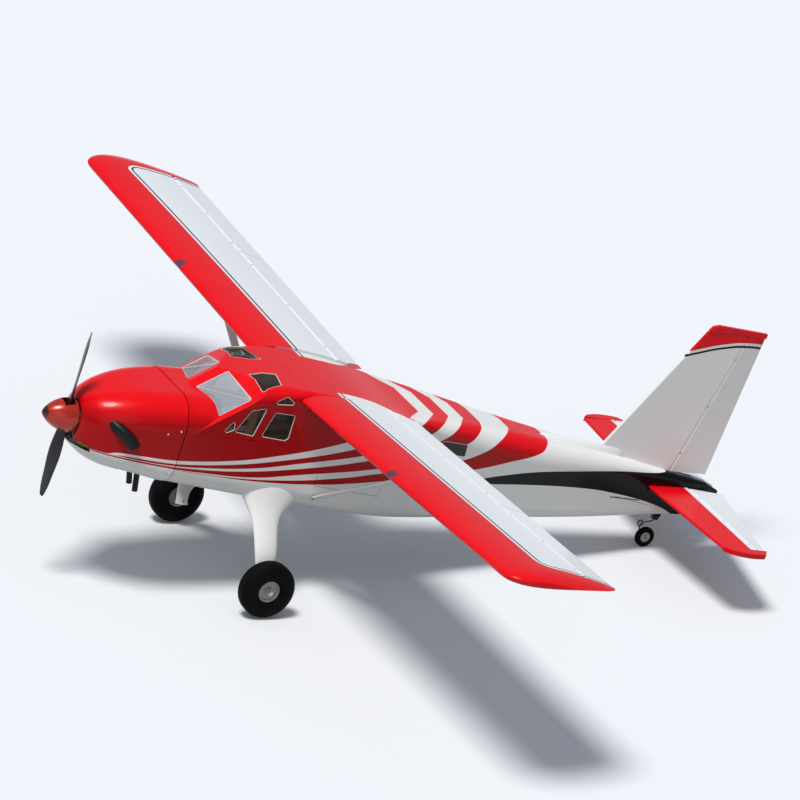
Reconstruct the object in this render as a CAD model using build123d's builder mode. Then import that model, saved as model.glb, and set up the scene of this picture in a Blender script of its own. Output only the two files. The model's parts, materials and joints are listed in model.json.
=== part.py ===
from build123d import *

import os
from math import asin, atan2, cos, degrees, hypot, pi, radians, sin, sqrt

# High-wing radio-control model aircraft: a built-up, film-covered airframe with a moulded cowl,
# a lift-off cabin hatch, separate wing panels on a joiner, and a petrol engine inside the nose.
#
# Every piece is drawn in the level flight datum, in millimetres: the origin is the tip of the
# spinner, x runs aft along the propeller axis, y runs to starboard and z runs up. The last lines
# stand the whole model on its three wheels, with the origin under the middle of its box.

# ---- driving dimensions -------------------------------------------------------------------

SPAN = 2000.0               # between the trailing edge corners of the wing tips
FIT = 0.05                  # running clearance on a radius: shafts, pins and axles
SEAM = 0.5                  # gap between a piece and the one that it lifts or turns clear of
WALL = 4.0                  # sheeted fuselage sides
GLAZING = 1.2               # clear sheet of the windows
GLAZING_INSET = 0.6         # how far the panes sit below the skin
PANE_SLACK = 0.2            # gap round a pane in its frame

# Propeller and spinner
SPINNER_DIAMETER = 70.0
SPINNER_LENGTH = 66.0
SPINNER_WALL = 1.8
BACKPLATE = 4.0
PROP_DIAMETER = 360.0
PROP_HUB_RADIUS = 15.0
PROP_HUB_LENGTH = 13.0
SHAFT_RADIUS = 5.0

# Cowl
COWL_FRONT_X = 69.0
COWL_REAR_X = 260.0
COWL_WALL = 2.5

# Fuselage
NOSE_X = 262.0
STERN_X = 1540.0
TAIL_TIP_X = 1612.0
HALF_WIDTH = 121.0
DECK_Z = 155.0
HATCH_FRONT_X = 264.0
HATCH_REAR_X = 516.0
SILL_Z = 40.0
HATCH_LIFT = 90.0

# Wing
CHORD = 267.0
WING_X = 495.0
WING_Z = 131.0              # leading edge on the centre line
WING_THICKNESS = 0.12       # share of the chord
WING_CAMBER = 0.02
CAMBER_PEAK = 0.4
DIHEDRAL = 2.78
INCIDENCE = 2.0
TIP_BLOCK = 16.0
TIP_REACH = 48.0            # how far the rounded tip stands out past its trailing corner
WING_HINGE = 0.76           # share of the chord
FLAP_SHARE = 0.58           # of the exposed half span
SURFACE_GAP = 2.0
HINGE_GAP = 0.9
EDGE_RADIUS = 0.9
JOINER_RADIUS = 8.0
JOINER_REACH = 330.0
JOINER_SHARE = 0.30

# Hinges
PIN_RADIUS = 0.8
PIN_LENGTH = 14.0
LUG_RADIUS = 2.2
LUG_WIDTH = 3.0
LUG_SLOT = 4.2

# Struts and landing lights
STRUT_FOOT_Y = 128.0
STRUT_FOOT = (592.0, 107.5, -78.0)
STRUT_HEAD_X = 579.0
STRUT_HEAD_Y = 460.5
STRUT_HEAD_DROP = 3.5       # strut axis below the wing's underside there
STRUT_CHORD = 20.0
STRUT_THICKNESS = 7.0
LIGHT_Y = 515.0
LIGHT_WIDTH = 26.0
LIGHT_DEPTH = 15.0

# Main wheels
WHEEL_X = 488.6
WHEEL_Y = 224.4
WHEEL_Z = -234.0
WHEEL_RADIUS = 59.5
TYRE_WIDTH = 46.0
HUB_RADIUS = 23.0
HUB_WIDTH = 32.0
AXLE_RADIUS = 2.5

# Tail wheel
TAIL_WHEEL_X = 1476.0
TAIL_WHEEL_Z = -118.0
TAIL_WHEEL_RADIUS = 22.0
TAIL_TYRE_WIDTH = 13.0
TAIL_HUB_RADIUS = 11.0
TAIL_AXLE_RADIUS = 1.5
STEER_X = 1484.0
SPRING_WIRE = 1.5           # radius

# Tail surfaces
STAB_Z = 5.0
STAB_LE_ROOT = 1425.0
STAB_LE_TIP = 1450.0
STAB_HALF_SPAN = 319.0
TAIL_HALF_SPAN = 345.0
ELEVATOR_HINGE_X = 1532.0
ELEVATOR_ROOT_Y = 23.0
ELEVATOR_TE_ROOT = 1615.0
ELEVATOR_TE_TIP = 1557.0
STAB_HALF_THICKNESS = 5.5
RUDDER_HINGE_LOW = (1480.0, 30.0)
RUDDER_HINGE_HIGH = (1557.0, 327.0)
RUDDER_TOP_Z = 372.0
HORN_Z = 357.0              # underside of the horn balance
FIN_ROOT_Z = 30.0
FIN_LE_ROOT = 1270.0
FIN_LE_TOP = 1459.5

PARTS = {}


def keep(name, piece):
    """Label a finished piece and put it with the others."""
    piece.part.label = name
    PARTS[name] = piece.part


def starboard_of(port_piece):
    """The same piece on the other side of the plane of symmetry."""
    with BuildPart() as twin:
        mirror(port_piece.part, about=Plane.XZ)
    return twin


def across(name, port_piece):
    """Keep a port piece and its starboard twin as two nodes."""
    keep(f"{name}_port", port_piece)
    keep(f"{name}_starboard", starboard_of(port_piece))


def both_sides(port_piece):
    """A port piece and its starboard twin as one group of solids."""
    with BuildPart() as pair:
        add(port_piece.part)
        mirror(port_piece.part, about=Plane.XZ)
    return pair


def rod(start, end, radius, mode=Mode.ADD):
    """Add a round bar from one point to another to the part that is being built."""
    start, end = Vector(*start), Vector(*end)
    with BuildSketch(Plane(origin=start, z_dir=end - start)) as section:
        Circle(radius)
    extrude(section.sketch, amount=(end - start).length, mode=mode)


def block(low, high, mode=Mode.ADD):
    """Add a box between two corners to the part that is being built."""
    size = [top - bottom for bottom, top in zip(low, high)]
    middle = [(top + bottom) / 2 for bottom, top in zip(low, high)]
    with Locations(tuple(middle)):
        Box(*size, mode=mode)


# ---- fuselage form ------------------------------------------------------------------------

# Each frame is (station x, top z, bottom z, half width, top corner radius, bottom corner radius).
BODY_FRAMES = [
    (NOSE_X, 132.0, -80.0, HALF_WIDTH, 40.0, 38.0),
    (371.0, 144.5, -87.5, HALF_WIDTH, 36.0, 38.0),
    (450.0, DECK_Z - 1.0, -92.5, HALF_WIDTH, 30.0, 38.0),
    (520.0, DECK_Z, -96.0, HALF_WIDTH, 14.0, 38.0),
    (640.0, DECK_Z - 7.5, -102.0, HALF_WIDTH, 9.0, 38.0),
    (754.0, 128.0, -105.0, HALF_WIDTH - 1.0, 10.0, 38.0),
    (925.0, 111.0, -99.0, 97.0, 34.0, 34.0),
    (1105.0, 88.5, -88.0, 72.5, 42.0, 27.0),
    (1316.0, 62.0, -74.0, 43.0, 28.0, 18.0),
    (1425.0, 46.0, -63.0, 28.5, 18.0, 12.0),
    (STERN_X, 29.0, -53.0, 20.0, 10.0, 9.0),
]
DECK_FRAMES = [
    (NOSE_X, 100.0, -80.0, HALF_WIDTH, 62.0, 38.0),
    (305.0, 101.5, -83.3, HALF_WIDTH, 61.0, 38.0),
    (430.0, 104.0, -91.3, HALF_WIDTH, 56.0, 38.0),
]
STERN_FRAMES = [
    (STERN_X, 29.0, -53.0, 20.0, 10.0, 9.0),
    (1575.0, 22.0, -27.0, 13.0, 7.0, 7.0),
    (TAIL_TIP_X, 6.0, -5.0, 5.0, 3.0, 3.0),
]
COWL_FRAMES = [
    (COWL_FRONT_X, 38.0, -50.0, 38.5, 36.5, 36.5),
    (86.0, 56.0, -64.0, 64.0, 50.0, 40.0),
    (112.0, 69.0, -73.0, 82.0, 56.0, 40.0),
    (155.0, 83.0, -76.0, 100.0, 60.0, 40.0),
    (205.0, 93.0, -77.5, 113.0, 62.0, 39.0),
    (COWL_REAR_X, 99.8, -80.0, HALF_WIDTH, 62.0, 38.0),
]


def frame_sketch(frame, inset=0.0):
    """One rounded rectangle across the body, set in from the skin by the inset."""
    x, top, bottom, half_width, top_radius, bottom_radius = frame
    with BuildSketch(Plane.YZ.offset(x)) as section:
        with Locations((0, (top + bottom) / 2)):
            Rectangle(2 * (half_width - inset), top - bottom - 2 * inset)
        fillet(section.vertices().group_by(Axis.Y)[-1], radius=top_radius - inset / 2)
        fillet(section.vertices().group_by(Axis.Y)[0], radius=bottom_radius - inset / 2)
    return section


def frame_at(frames, x):
    """The frame at any station, between the two listed frames on either side of it."""
    for ahead, behind in zip(frames, frames[1:]):
        if ahead[0] <= x <= behind[0]:
            share = (x - ahead[0]) / (behind[0] - ahead[0])
            return (x, *(a + share * (b - a) for a, b in zip(ahead[1:], behind[1:])))
    raise ValueError(f"no frame at {x}")


# The windscreen is two flat panes that meet at a centre post and sweep aft and down outboard.
SCREEN_BASE = Vector(306.0, -22.0, 98.5)
SCREEN_TOP = Vector(371.0, -22.0, 144.0)
SCREEN_CORNER = Vector(326.0, -112.0, 76.0)
SCREEN_NORMAL = (SCREEN_CORNER - SCREEN_BASE).cross(SCREEN_TOP - SCREEN_BASE).normalized()
if SCREEN_NORMAL.Z < 0:
    SCREEN_NORMAL = SCREEN_NORMAL * -1
CUTTER = 700.0


def hull_form(inset):
    """The solid shape of the whole body, cabin and stern, set in from the skin."""
    with BuildPart() as form:
        loft(sections=[frame_sketch(frame, inset).sketch for frame in BODY_FRAMES])
        for side in (1, -1):
            normal = Vector(SCREEN_NORMAL.X, side * SCREEN_NORMAL.Y, SCREEN_NORMAL.Z)
            point = Vector(SCREEN_BASE.X, side * SCREEN_BASE.Y, SCREEN_BASE.Z) - normal * inset
            with BuildSketch(Plane(origin=point, z_dir=normal)):
                Rectangle(CUTTER, CUTTER)
            extrude(amount=CUTTER / 2, mode=Mode.SUBTRACT)
        loft(sections=[frame_sketch(frame, inset).sketch for frame in DECK_FRAMES])
    return form


outer_form = hull_form(0.0)
inner_form = hull_form(WALL)
pane_outer = hull_form(GLAZING_INSET)
pane_inner = hull_form(GLAZING_INSET + GLAZING)

with BuildPart() as glazing_layer:
    add(pane_outer.part)
    add(pane_inner.part, mode=Mode.SUBTRACT)

with BuildPart() as stern_cap:
    loft(sections=[frame_sketch(frame).sketch for frame in STERN_FRAMES], ruled=True)

# ---- windows: outlines seen from the side (x, z) or from above (x, y) ---------------------

SIDE_WINDOWS = [
    [(343.0, 52.0), (351.0, 49.5), (366.0, 57.0), (362.0, 80.0)],
    [(367.0, 53.5), (412.0, 48.5), (425.0, 112.0), (392.0, 103.0)],
    [(430.0, 50.0), (486.0, 47.0), (493.0, 53.0), (492.0, 104.0), (446.0, 105.0)],
    [(428.0, 121.0), (489.0, 126.0), (464.0, 141.0)],
]
ROOF_WINDOWS = [
    [(404.0, -44.0), (440.0, -34.0), (470.0, -36.0), (456.0, -94.0), (412.0, -106.0)],
    [(308.0, -21.0), (370.0, -21.0), (391.0, -109.0), (329.0, -109.0)],
]
REAR_WINDOW = [(836.0, 60.0), (897.0, 52.0), (924.0, 49.0), (921.0, 77.0), (858.0, 83.0)]
WINDOW_CORNER = 4.0
WINDOW_BASE_Y = 70.0        # side cuts reach no further in than this


def window_cut(outline, plane, depth, slack=0.0):
    """A prism with rounded corners through the skin, from a plane outwards."""
    with BuildPart() as prism:
        with BuildSketch(plane) as shape:
            Polygon(*outline, align=None)
            fillet(shape.vertices(), radius=WINDOW_CORNER)
            if slack:
                offset(amount=-slack, mode=Mode.REPLACE)
        extrude(amount=depth)
    return prism


def cabin_prisms(slack=0.0):
    """The port prisms of the side windows, then those of the roof window and the windscreen."""
    side = Plane.XZ.offset(WINDOW_BASE_Y)
    above = Plane.XY.offset(SILL_Z)
    sides = [window_cut(outline, side, HALF_WIDTH, slack) for outline in SIDE_WINDOWS]
    roofs = [window_cut(outline, above, CUTTER / 4, slack) for outline in ROOF_WINDOWS]
    return sides, roofs


def layer_panes(prisms):
    """The clear sheets that lie in a list of window openings, port and starboard."""
    with BuildPart() as panes:
        for prism in prisms:
            add(glazing_layer.part & prism.part)
            mirror(glazing_layer.part & prism.part, about=Plane.XZ)
    return panes


side_prisms, roof_prisms = cabin_prisms()
side_slack_prisms, roof_slack_prisms = cabin_prisms(PANE_SLACK)
rear_plane = Plane.XZ.offset(WINDOW_BASE_Y)
rear_prism = window_cut(REAR_WINDOW, rear_plane, HALF_WIDTH)

# The seam of the hatch runs down behind the cowl and then aft along the sill.
HATCH_SEAM = [
    (HATCH_FRONT_X, DECK_Z + 20.0), (HATCH_FRONT_X, 96.0), (279.0, 72.0), (289.0, 57.0),
    (294.0, SILL_Z), (HATCH_REAR_X, SILL_Z), (HATCH_REAR_X, DECK_Z + 20.0),
]


def seam_prism(growth):
    """Everything inside the seam line, grown outwards by half the seam."""
    with BuildPart() as prism:
        with BuildSketch(Plane.XZ) as shape:
            Polygon(*HATCH_SEAM, align=None)
            if growth:
                offset(amount=growth, kind=Kind.INTERSECTION, mode=Mode.REPLACE)
        extrude(amount=HALF_WIDTH + 20.0, both=True)
    return prism


with BuildPart() as shell:
    add(outer_form.part)
    add(inner_form.part, mode=Mode.SUBTRACT)

with BuildPart() as hatch:
    add(shell.part)
    add(seam_prism(0.0).part, mode=Mode.INTERSECT)
    for prism in side_prisms + roof_prisms:
        add(prism.part, mode=Mode.SUBTRACT)
        mirror(prism.part, about=Plane.XZ, mode=Mode.SUBTRACT)
keep("cabin_hatch", hatch)

keep("windshield_panes", layer_panes(roof_slack_prisms[1:]))
keep("cabin_windows", layer_panes(side_slack_prisms + roof_slack_prisms[:1]))
keep("rear_windows", layer_panes([window_cut(REAR_WINDOW, rear_plane, HALF_WIDTH, PANE_SLACK)]))

# ---- wing form ----------------------------------------------------------------------------

AEROFOIL_STEPS = 14
ROOT_Y = HALF_WIDTH + 0.8
HALF_SPAN = SPAN / 2
SPANWISE = Vector(0, -cos(radians(DIHEDRAL)), sin(radians(DIHEDRAL)))
FAR_BELOW = -60.0


def wing_point(along, above, y):
    """Place a point of the section, given along and above its chord line, at a port station."""
    lean = radians(INCIDENCE)
    rise = y * sin(radians(DIHEDRAL)) / cos(radians(DIHEDRAL))
    x = WING_X + along * cos(lean) + above * sin(lean)
    z = WING_Z + rise - along * sin(lean) + above * cos(lean)
    return Vector(x, -y, z)


def half_thickness(share, thickness):
    """Half the depth of a four-digit section at a share of its chord."""
    curve = 0.2969 * sqrt(share) - 0.1260 * share - 0.3516 * share**2
    return 5 * thickness * (curve + 0.2843 * share**3 - 0.1015 * share**4)


def camber_line(share):
    """Height of the middle line of the section above its chord, as a share of the chord."""
    if share < CAMBER_PEAK:
        return WING_CAMBER / CAMBER_PEAK**2 * (2 * CAMBER_PEAK * share - share**2)
    rest = 1 - 2 * CAMBER_PEAK + 2 * CAMBER_PEAK * share - share**2
    return WING_CAMBER / (1 - CAMBER_PEAK) ** 2 * rest


def rib_sketch(y, front=0.0, back=0.0, depth=1.0):
    """The wing section at a port station. A tip rib is cut short in front and behind, and thin."""
    length = CHORD - front - back
    upper, lower = [], []
    for step in range(AEROFOIL_STEPS + 1):
        share = (1 - cos(pi * step / AEROFOIL_STEPS)) / 2
        along = front + length * share
        middle = camber_line(along / CHORD)
        half = depth * half_thickness(share, WING_THICKNESS)
        upper.append(wing_point(along, CHORD * (middle + half), y))
        lower.append(wing_point(along, CHORD * (middle - half), y))
    with BuildSketch(Plane.XZ.offset(y)) as rib:
        with BuildLine():
            Spline(*[(point.X, point.Z) for point in upper])
            Spline(*[(point.X, point.Z) for point in lower])
            Line((upper[-1].X, upper[-1].Z), (lower[-1].X, lower[-1].Z))
        make_face()
    return rib


HINGE_HALF = CHORD * half_thickness(WING_HINGE, WING_THICKNESS) - 0.2
WING_CUT_X = wing_point(CHORD * WING_HINGE, 0, 0).X - HINGE_HALF - HINGE_GAP
EXPOSED = HALF_SPAN - TIP_BLOCK - ROOT_Y
FLAP_START = ROOT_Y + SURFACE_GAP
FLAP_END = ROOT_Y + EXPOSED * FLAP_SHARE
AILERON_START = FLAP_END + SURFACE_GAP
AILERON_END = HALF_SPAN - TIP_BLOCK


TIP_WIDTH = TIP_BLOCK + TIP_REACH
# Ribs of the rounded tip: how far out as a share of its width, the lengths cut off in front and
# behind, and the share of the depth that is left.
TIP_RIBS = [
    (0.0, 0.0, 0.0, 1.0),
    (0.31, 1.0, 8.0, 0.97),
    (0.62, 9.0, 48.0, 0.84),
    (0.86, 27.0, 92.0, 0.60),
    (1.0, 58.0, 146.0, 0.28),
]


def hinge_point(y):
    """The hinge axis of flap and aileron at a port station."""
    return wing_point(CHORD * WING_HINGE, CHORD * camber_line(WING_HINGE), y)


with BuildPart() as wing_form:
    root = rib_sketch(ROOT_Y)
    extrude(root.sketch, amount=(AILERON_END - ROOT_Y) / cos(radians(DIHEDRAL)), dir=SPANWISE)
    tip_ribs = [rib_sketch(AILERON_END + out * TIP_WIDTH, *cuts) for out, *cuts in TIP_RIBS]
    loft(sections=[rib.sketch for rib in tip_ribs])

# Aileron servo, its pocket under the wing, and the linkage. The arm is as long as the horn and
# starts parallel to it, so the pushrod keeps its direction as the aileron turns.
SERVO_Y = 760.0
SERVO_AHEAD = 58.0          # arm pivot ahead of the hinge axis
SERVO_SIZE = (32.0, 12.0, 20.0)
ARM_REACH = 24.0
ARM_THICKNESS = 2.0
ROD_RADIUS = 1.0
POCKET = (42.0, 22.0)

servo_hinge = hinge_point(SERVO_Y)
servo_pivot = servo_hinge - Vector(SERVO_AHEAD, 0, 0)
LIGHT_LOW = (WING_X - 20, -LIGHT_Y - LIGHT_WIDTH / 2, 0)
LIGHT_HIGH = (WING_X + LIGHT_DEPTH, -LIGHT_Y + LIGHT_WIDTH / 2, 300)
JOINER_ALONG = CHORD * JOINER_SHARE
joiner_root = wing_point(JOINER_ALONG, CHORD * camber_line(JOINER_SHARE), 0)
joiner_end = wing_point(JOINER_ALONG, CHORD * camber_line(JOINER_SHARE), JOINER_REACH)

with BuildPart() as wing:
    add(wing_form.part)
    block((WING_CUT_X, -AILERON_END - SURFACE_GAP, FAR_BELOW), (WING_X + CHORD + 20, 0, 300),
          mode=Mode.SUBTRACT)
    block(LIGHT_LOW, LIGHT_HIGH, mode=Mode.SUBTRACT)
    rod(joiner_root, joiner_end + SPANWISE * 1.0, JOINER_RADIUS + 0.1, mode=Mode.SUBTRACT)
    block(
        (servo_pivot.X - POCKET[0] / 2, -SERVO_Y - POCKET[1] / 2, 60),
        (servo_pivot.X + POCKET[0] / 2, -SERVO_Y + POCKET[1] / 2, servo_pivot.Z + 5),
        mode=Mode.SUBTRACT,
    )
across("wing", wing)

with BuildPart() as light:
    add(wing_form.part)
    block((LIGHT_LOW[0], LIGHT_LOW[1] + PANE_SLACK, LIGHT_LOW[2]),
          (LIGHT_HIGH[0] - PANE_SLACK, LIGHT_HIGH[1] - PANE_SLACK, LIGHT_HIGH[2]),
          mode=Mode.INTERSECT)
keep("landing_lights", both_sides(light))

with BuildPart() as joiner:
    rod(joiner_root, joiner_end, JOINER_RADIUS)
    rod(joiner_root, (joiner_end.X, -joiner_end.Y, joiner_end.Z), JOINER_RADIUS)
    with Locations(joiner_root):
        Sphere(JOINER_RADIUS)
keep("wing_joiner", joiner)

# ---- control surfaces ---------------------------------------------------------------------


def hull_profile(nose, nose_radius, edge, edge_radius):
    """Tapered section with a round nose and a thin trailing edge, on the current sketch plane."""
    with Locations(nose):
        Circle(nose_radius)
    with Locations(edge):
        Circle(edge_radius)
    make_hull()


def cut_hinge(point, direction, nose_radius):
    """Cut a slot for a hinge lug into the nose of a surface, and the bore of its pin."""
    back = LUG_RADIUS + SEAM
    plane = Plane(origin=point - direction * LUG_SLOT / 2, x_dir=cross_of(direction),
                  z_dir=direction)
    with BuildSketch(plane) as slot:
        with Locations((-nose_radius / 2 - 1, 0)):
            Rectangle(nose_radius + 2, 4 * nose_radius)
        Circle(back)
    extrude(slot.sketch, amount=LUG_SLOT, mode=Mode.SUBTRACT)
    start = point - direction * (PIN_LENGTH / 2 + SEAM)
    rod(start, start + direction * (PIN_LENGTH + 2 * SEAM), PIN_RADIUS + FIT, mode=Mode.SUBTRACT)


def cross_of(direction):
    """The direction that lies aft of a hinge axis, square to it."""
    aft = Vector(1, 0, 0)
    return (aft - direction * aft.dot(direction)).normalized()


def add_hinge(point, direction, ahead):
    """One lug, from the fixed face ahead of the axis to just past it, and its pin."""
    plane = Plane(origin=point - direction * LUG_WIDTH / 2, x_dir=cross_of(direction),
                  z_dir=direction)
    with BuildSketch(plane) as lug:
        with Locations((-ahead / 2, 0)):
            Rectangle(ahead, 2 * LUG_RADIUS)
        Circle(LUG_RADIUS)
        Circle(PIN_RADIUS + FIT, mode=Mode.SUBTRACT)
    extrude(lug.sketch, amount=LUG_WIDTH)
    start = point - direction * PIN_LENGTH / 2
    rod(start, start + direction * PIN_LENGTH, PIN_RADIUS)


def stations(start, end, count):
    """Evenly spread hinge stations, the outer ones a little way in from the ends."""
    margin = 0.12 * (end - start)
    pitch = (end - start - 2 * margin) / (count - 1)
    return [start + margin + pitch * step for step in range(count)]


FLAP_STATIONS = stations(FLAP_START, FLAP_END, 3)
AILERON_STATIONS = stations(AILERON_START, AILERON_END, 3)
EDGE_AT = 0.985             # where the centre of the trailing edge lies on the chord


def wing_surface(start_y, end_y, hinge_stations):
    """A flap or an aileron between two port stations."""
    nose = hinge_point(start_y)
    edge = wing_point(CHORD * EDGE_AT, CHORD * camber_line(EDGE_AT), start_y)
    with BuildPart() as surface:
        with BuildSketch(Plane.XZ.offset(start_y)):
            hull_profile((nose.X, nose.Z), HINGE_HALF, (edge.X, edge.Z), EDGE_RADIUS)
        extrude(amount=(end_y - start_y) / cos(radians(DIHEDRAL)), dir=SPANWISE)
        for y in hinge_stations:
            cut_hinge(hinge_point(y), SPANWISE, HINGE_HALF)
    return surface


across("flap", wing_surface(FLAP_START, FLAP_END, FLAP_STATIONS))
across("aileron", wing_surface(AILERON_START, AILERON_END - SURFACE_GAP / 2, AILERON_STATIONS))

# Aileron linkage
surface_below = servo_hinge - Vector(0, 0, HINGE_HALF)
ROD_Y = -SERVO_Y + 8.6
CROSS_PIN = Vector(0, 4.2, 0)
CROSS_PIN_RADIUS = 0.9
OPEN_PIVOT = 0.5            # extra room round the pin at the horn
rod_front = Vector(servo_pivot.X, ROD_Y, servo_pivot.Z - ARM_REACH)
rod_back = Vector(servo_hinge.X, ROD_Y, servo_hinge.Z - ARM_REACH)

with BuildPart() as servo:
    block(
        (servo_pivot.X - SERVO_SIZE[0] / 2 + 4, -SERVO_Y - SERVO_SIZE[1] + 4, servo_pivot.Z - 16),
        (servo_pivot.X + SERVO_SIZE[0] / 2 - 2, -SERVO_Y + 4, servo_pivot.Z + 4.8),
    )
keep("aileron_servos", both_sides(servo))

with BuildPart() as arm:
    with BuildSketch(Plane.XZ.offset(SERVO_Y - 5.0)):
        hull_profile((servo_pivot.X, servo_pivot.Z), 4.0,
                     (servo_pivot.X, servo_pivot.Z - ARM_REACH), 2.5)
    extrude(amount=-ARM_THICKNESS)
    rod(rod_front, rod_front - CROSS_PIN, CROSS_PIN_RADIUS + FIT, mode=Mode.SUBTRACT)
across("aileron_arm", arm)

with BuildPart() as horn:
    with BuildSketch(Plane.XZ.offset(SERVO_Y - 5.0)):
        with BuildLine():
            Polyline(
                (servo_hinge.X - 3.4, surface_below.Z + 1.0),
                (servo_hinge.X - 3.2, servo_hinge.Z - ARM_REACH - 3.2),
                (servo_hinge.X + 3.2, servo_hinge.Z - ARM_REACH - 3.2),
                (servo_hinge.X + 16.0, surface_below.Z + 4.0), close=True,
            )
        make_face()
    extrude(amount=-ARM_THICKNESS)
    add(wing_surface(AILERON_START, AILERON_END, []).part, mode=Mode.SUBTRACT)
    rod(rod_back, rod_back - CROSS_PIN, CROSS_PIN_RADIUS + OPEN_PIVOT, mode=Mode.SUBTRACT)
across("aileron_horn", horn)

with BuildPart() as pushrod:
    rod(rod_front, rod_back, ROD_RADIUS)
    for end in (rod_front, rod_back):
        rod(end, end - CROSS_PIN, CROSS_PIN_RADIUS)
across("aileron_pushrod", pushrod)

# ---- tail ---------------------------------------------------------------------------------

rudder_low = Vector(RUDDER_HINGE_LOW[0], 0, RUDDER_HINGE_LOW[1])
rudder_high = Vector(RUDDER_HINGE_HIGH[0], 0, RUDDER_HINGE_HIGH[1])
RUDDER_AXIS = (rudder_high - rudder_low).normalized()
RUDDER_NOSE_LOW = 6.4
RUDDER_NOSE_HIGH = 4.6
RUDDER_FOOT_Z = 38.0
RUDDER_TE_LOW = 1571.0
RUDDER_TE_HIGH = 1603.0
STERN_SLOT = 0.4            # clearance of the tailplane in its slot


def rudder_hinge(z):
    """The rudder's hinge axis at a height."""
    return rudder_low + RUDDER_AXIS * ((z - rudder_low.Z) / RUDDER_AXIS.Z)


def rudder_nose(z):
    """The radius of the rudder's nose at a height."""
    share = (z - FIN_ROOT_Z) / (HORN_Z - FIN_ROOT_Z)
    return RUDDER_NOSE_LOW + share * (RUDDER_NOSE_HIGH - RUDDER_NOSE_LOW)


def upright_section(z, front_x, front_radius, back_x, back_radius):
    """A tapered streamlined section on a level plane."""
    with BuildSketch(Plane.XY.offset(z)) as section:
        hull_profile((front_x, 0), front_radius, (back_x, 0), back_radius)
    return section.sketch


def fin_section(z, front_x):
    """The fin's section: a round leading edge and a flat face ahead of the rudder."""
    nose = rudder_nose(z)
    back = rudder_hinge(z).X - nose / RUDDER_AXIS.Z - HINGE_GAP
    with BuildSketch(Plane.XY.offset(z)) as section:
        hull_profile((front_x + nose * 0.6, 0), nose * 0.6, (back, 0), nose)
        with Locations((back + nose, 0)):
            Rectangle(2 * nose, 4 * nose, mode=Mode.SUBTRACT)
    return section.sketch


with BuildPart() as fin:
    fin_top = HORN_Z - 1.6
    loft(sections=[fin_section(FIN_ROOT_Z, FIN_LE_ROOT), fin_section(fin_top, FIN_LE_TOP)])
    add(outer_form.part, mode=Mode.SUBTRACT)
keep("fin", fin)

RUDDER_STATIONS = [80.0, 190.0, 300.0]
with BuildPart() as rudder:
    sections = []
    for z, edge_x in ((RUDDER_FOOT_Z, RUDDER_TE_LOW), (HORN_Z, RUDDER_TE_HIGH)):
        edge = edge_x - EDGE_RADIUS
        sections.append(upright_section(z, rudder_hinge(z).X, rudder_nose(z), edge, EDGE_RADIUS))
    loft(sections=sections)
    horn_width = 2 * RUDDER_NOSE_HIGH
    with BuildSketch(Plane.XZ.offset(-RUDDER_NOSE_HIGH)) as balance:
        Polygon((1461.5, HORN_Z), (1470.0, RUDDER_TOP_Z - 4), (1484.0, RUDDER_TOP_Z),
                (1604.0, RUDDER_TOP_Z - 5), (RUDDER_TE_HIGH, HORN_Z), align=None)
    extrude(amount=horn_width)
    top_edges = rudder.edges().filter_by_position(Axis.Z, HORN_Z + 1, RUDDER_TOP_Z + 1)
    fillet(top_edges.filter_by(Plane.XZ).group_by(Axis.Y)[-1], radius=2.0)
    block((1570.0, -10.0, RUDDER_FOOT_Z - 5), (1590.0, 10.0, RUDDER_FOOT_Z), mode=Mode.SUBTRACT)
    for z in RUDDER_STATIONS:
        cut_hinge(rudder_hinge(z), RUDDER_AXIS, rudder_nose(z))
keep("rudder", rudder)

STAB_CUT_X = ELEVATOR_HINGE_X - STAB_HALF_THICKNESS - HINGE_GAP
ELEVATOR_HALF = STAB_HALF_THICKNESS - 0.3
ELEVATOR_END_Y = STAB_HALF_SPAN - 1.0
STAB_NOSE = 3.4
ELEVATOR_STATIONS = [70.0, 180.0, 290.0]
ELEVATOR_AXIS = Vector(0, -1, 0)


def stab_section(y, front_x):
    """The tailplane's section: a round leading edge and a flat face at the hinge."""
    with BuildSketch(Plane.XZ.offset(y)) as section:
        hull_profile((front_x + STAB_NOSE, STAB_Z), STAB_NOSE,
                     (STAB_CUT_X, STAB_Z), STAB_HALF_THICKNESS)
        with Locations((STAB_CUT_X + STAB_HALF_THICKNESS, STAB_Z)):
            Rectangle(2 * STAB_HALF_THICKNESS, 4 * STAB_HALF_THICKNESS, mode=Mode.SUBTRACT)
    return section.sketch


def elevator_section(y, edge_x):
    """The elevator's section, round about the hinge axis."""
    with BuildSketch(Plane.XZ.offset(y)) as section:
        hull_profile((ELEVATOR_HINGE_X, STAB_Z), ELEVATOR_HALF,
                     (edge_x - EDGE_RADIUS, STAB_Z), EDGE_RADIUS)
    return section.sketch


with BuildPart() as stab_half:
    loft(sections=[stab_section(0, STAB_LE_ROOT), stab_section(STAB_HALF_SPAN, STAB_LE_TIP)])
with BuildPart() as stabiliser:
    add(stab_half.part)
    mirror(stab_half.part, about=Plane.XZ)
keep("stabiliser", stabiliser)

JOINER_WIRE = 2.0
JOINER_WIRE_REACH = 48.0

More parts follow.
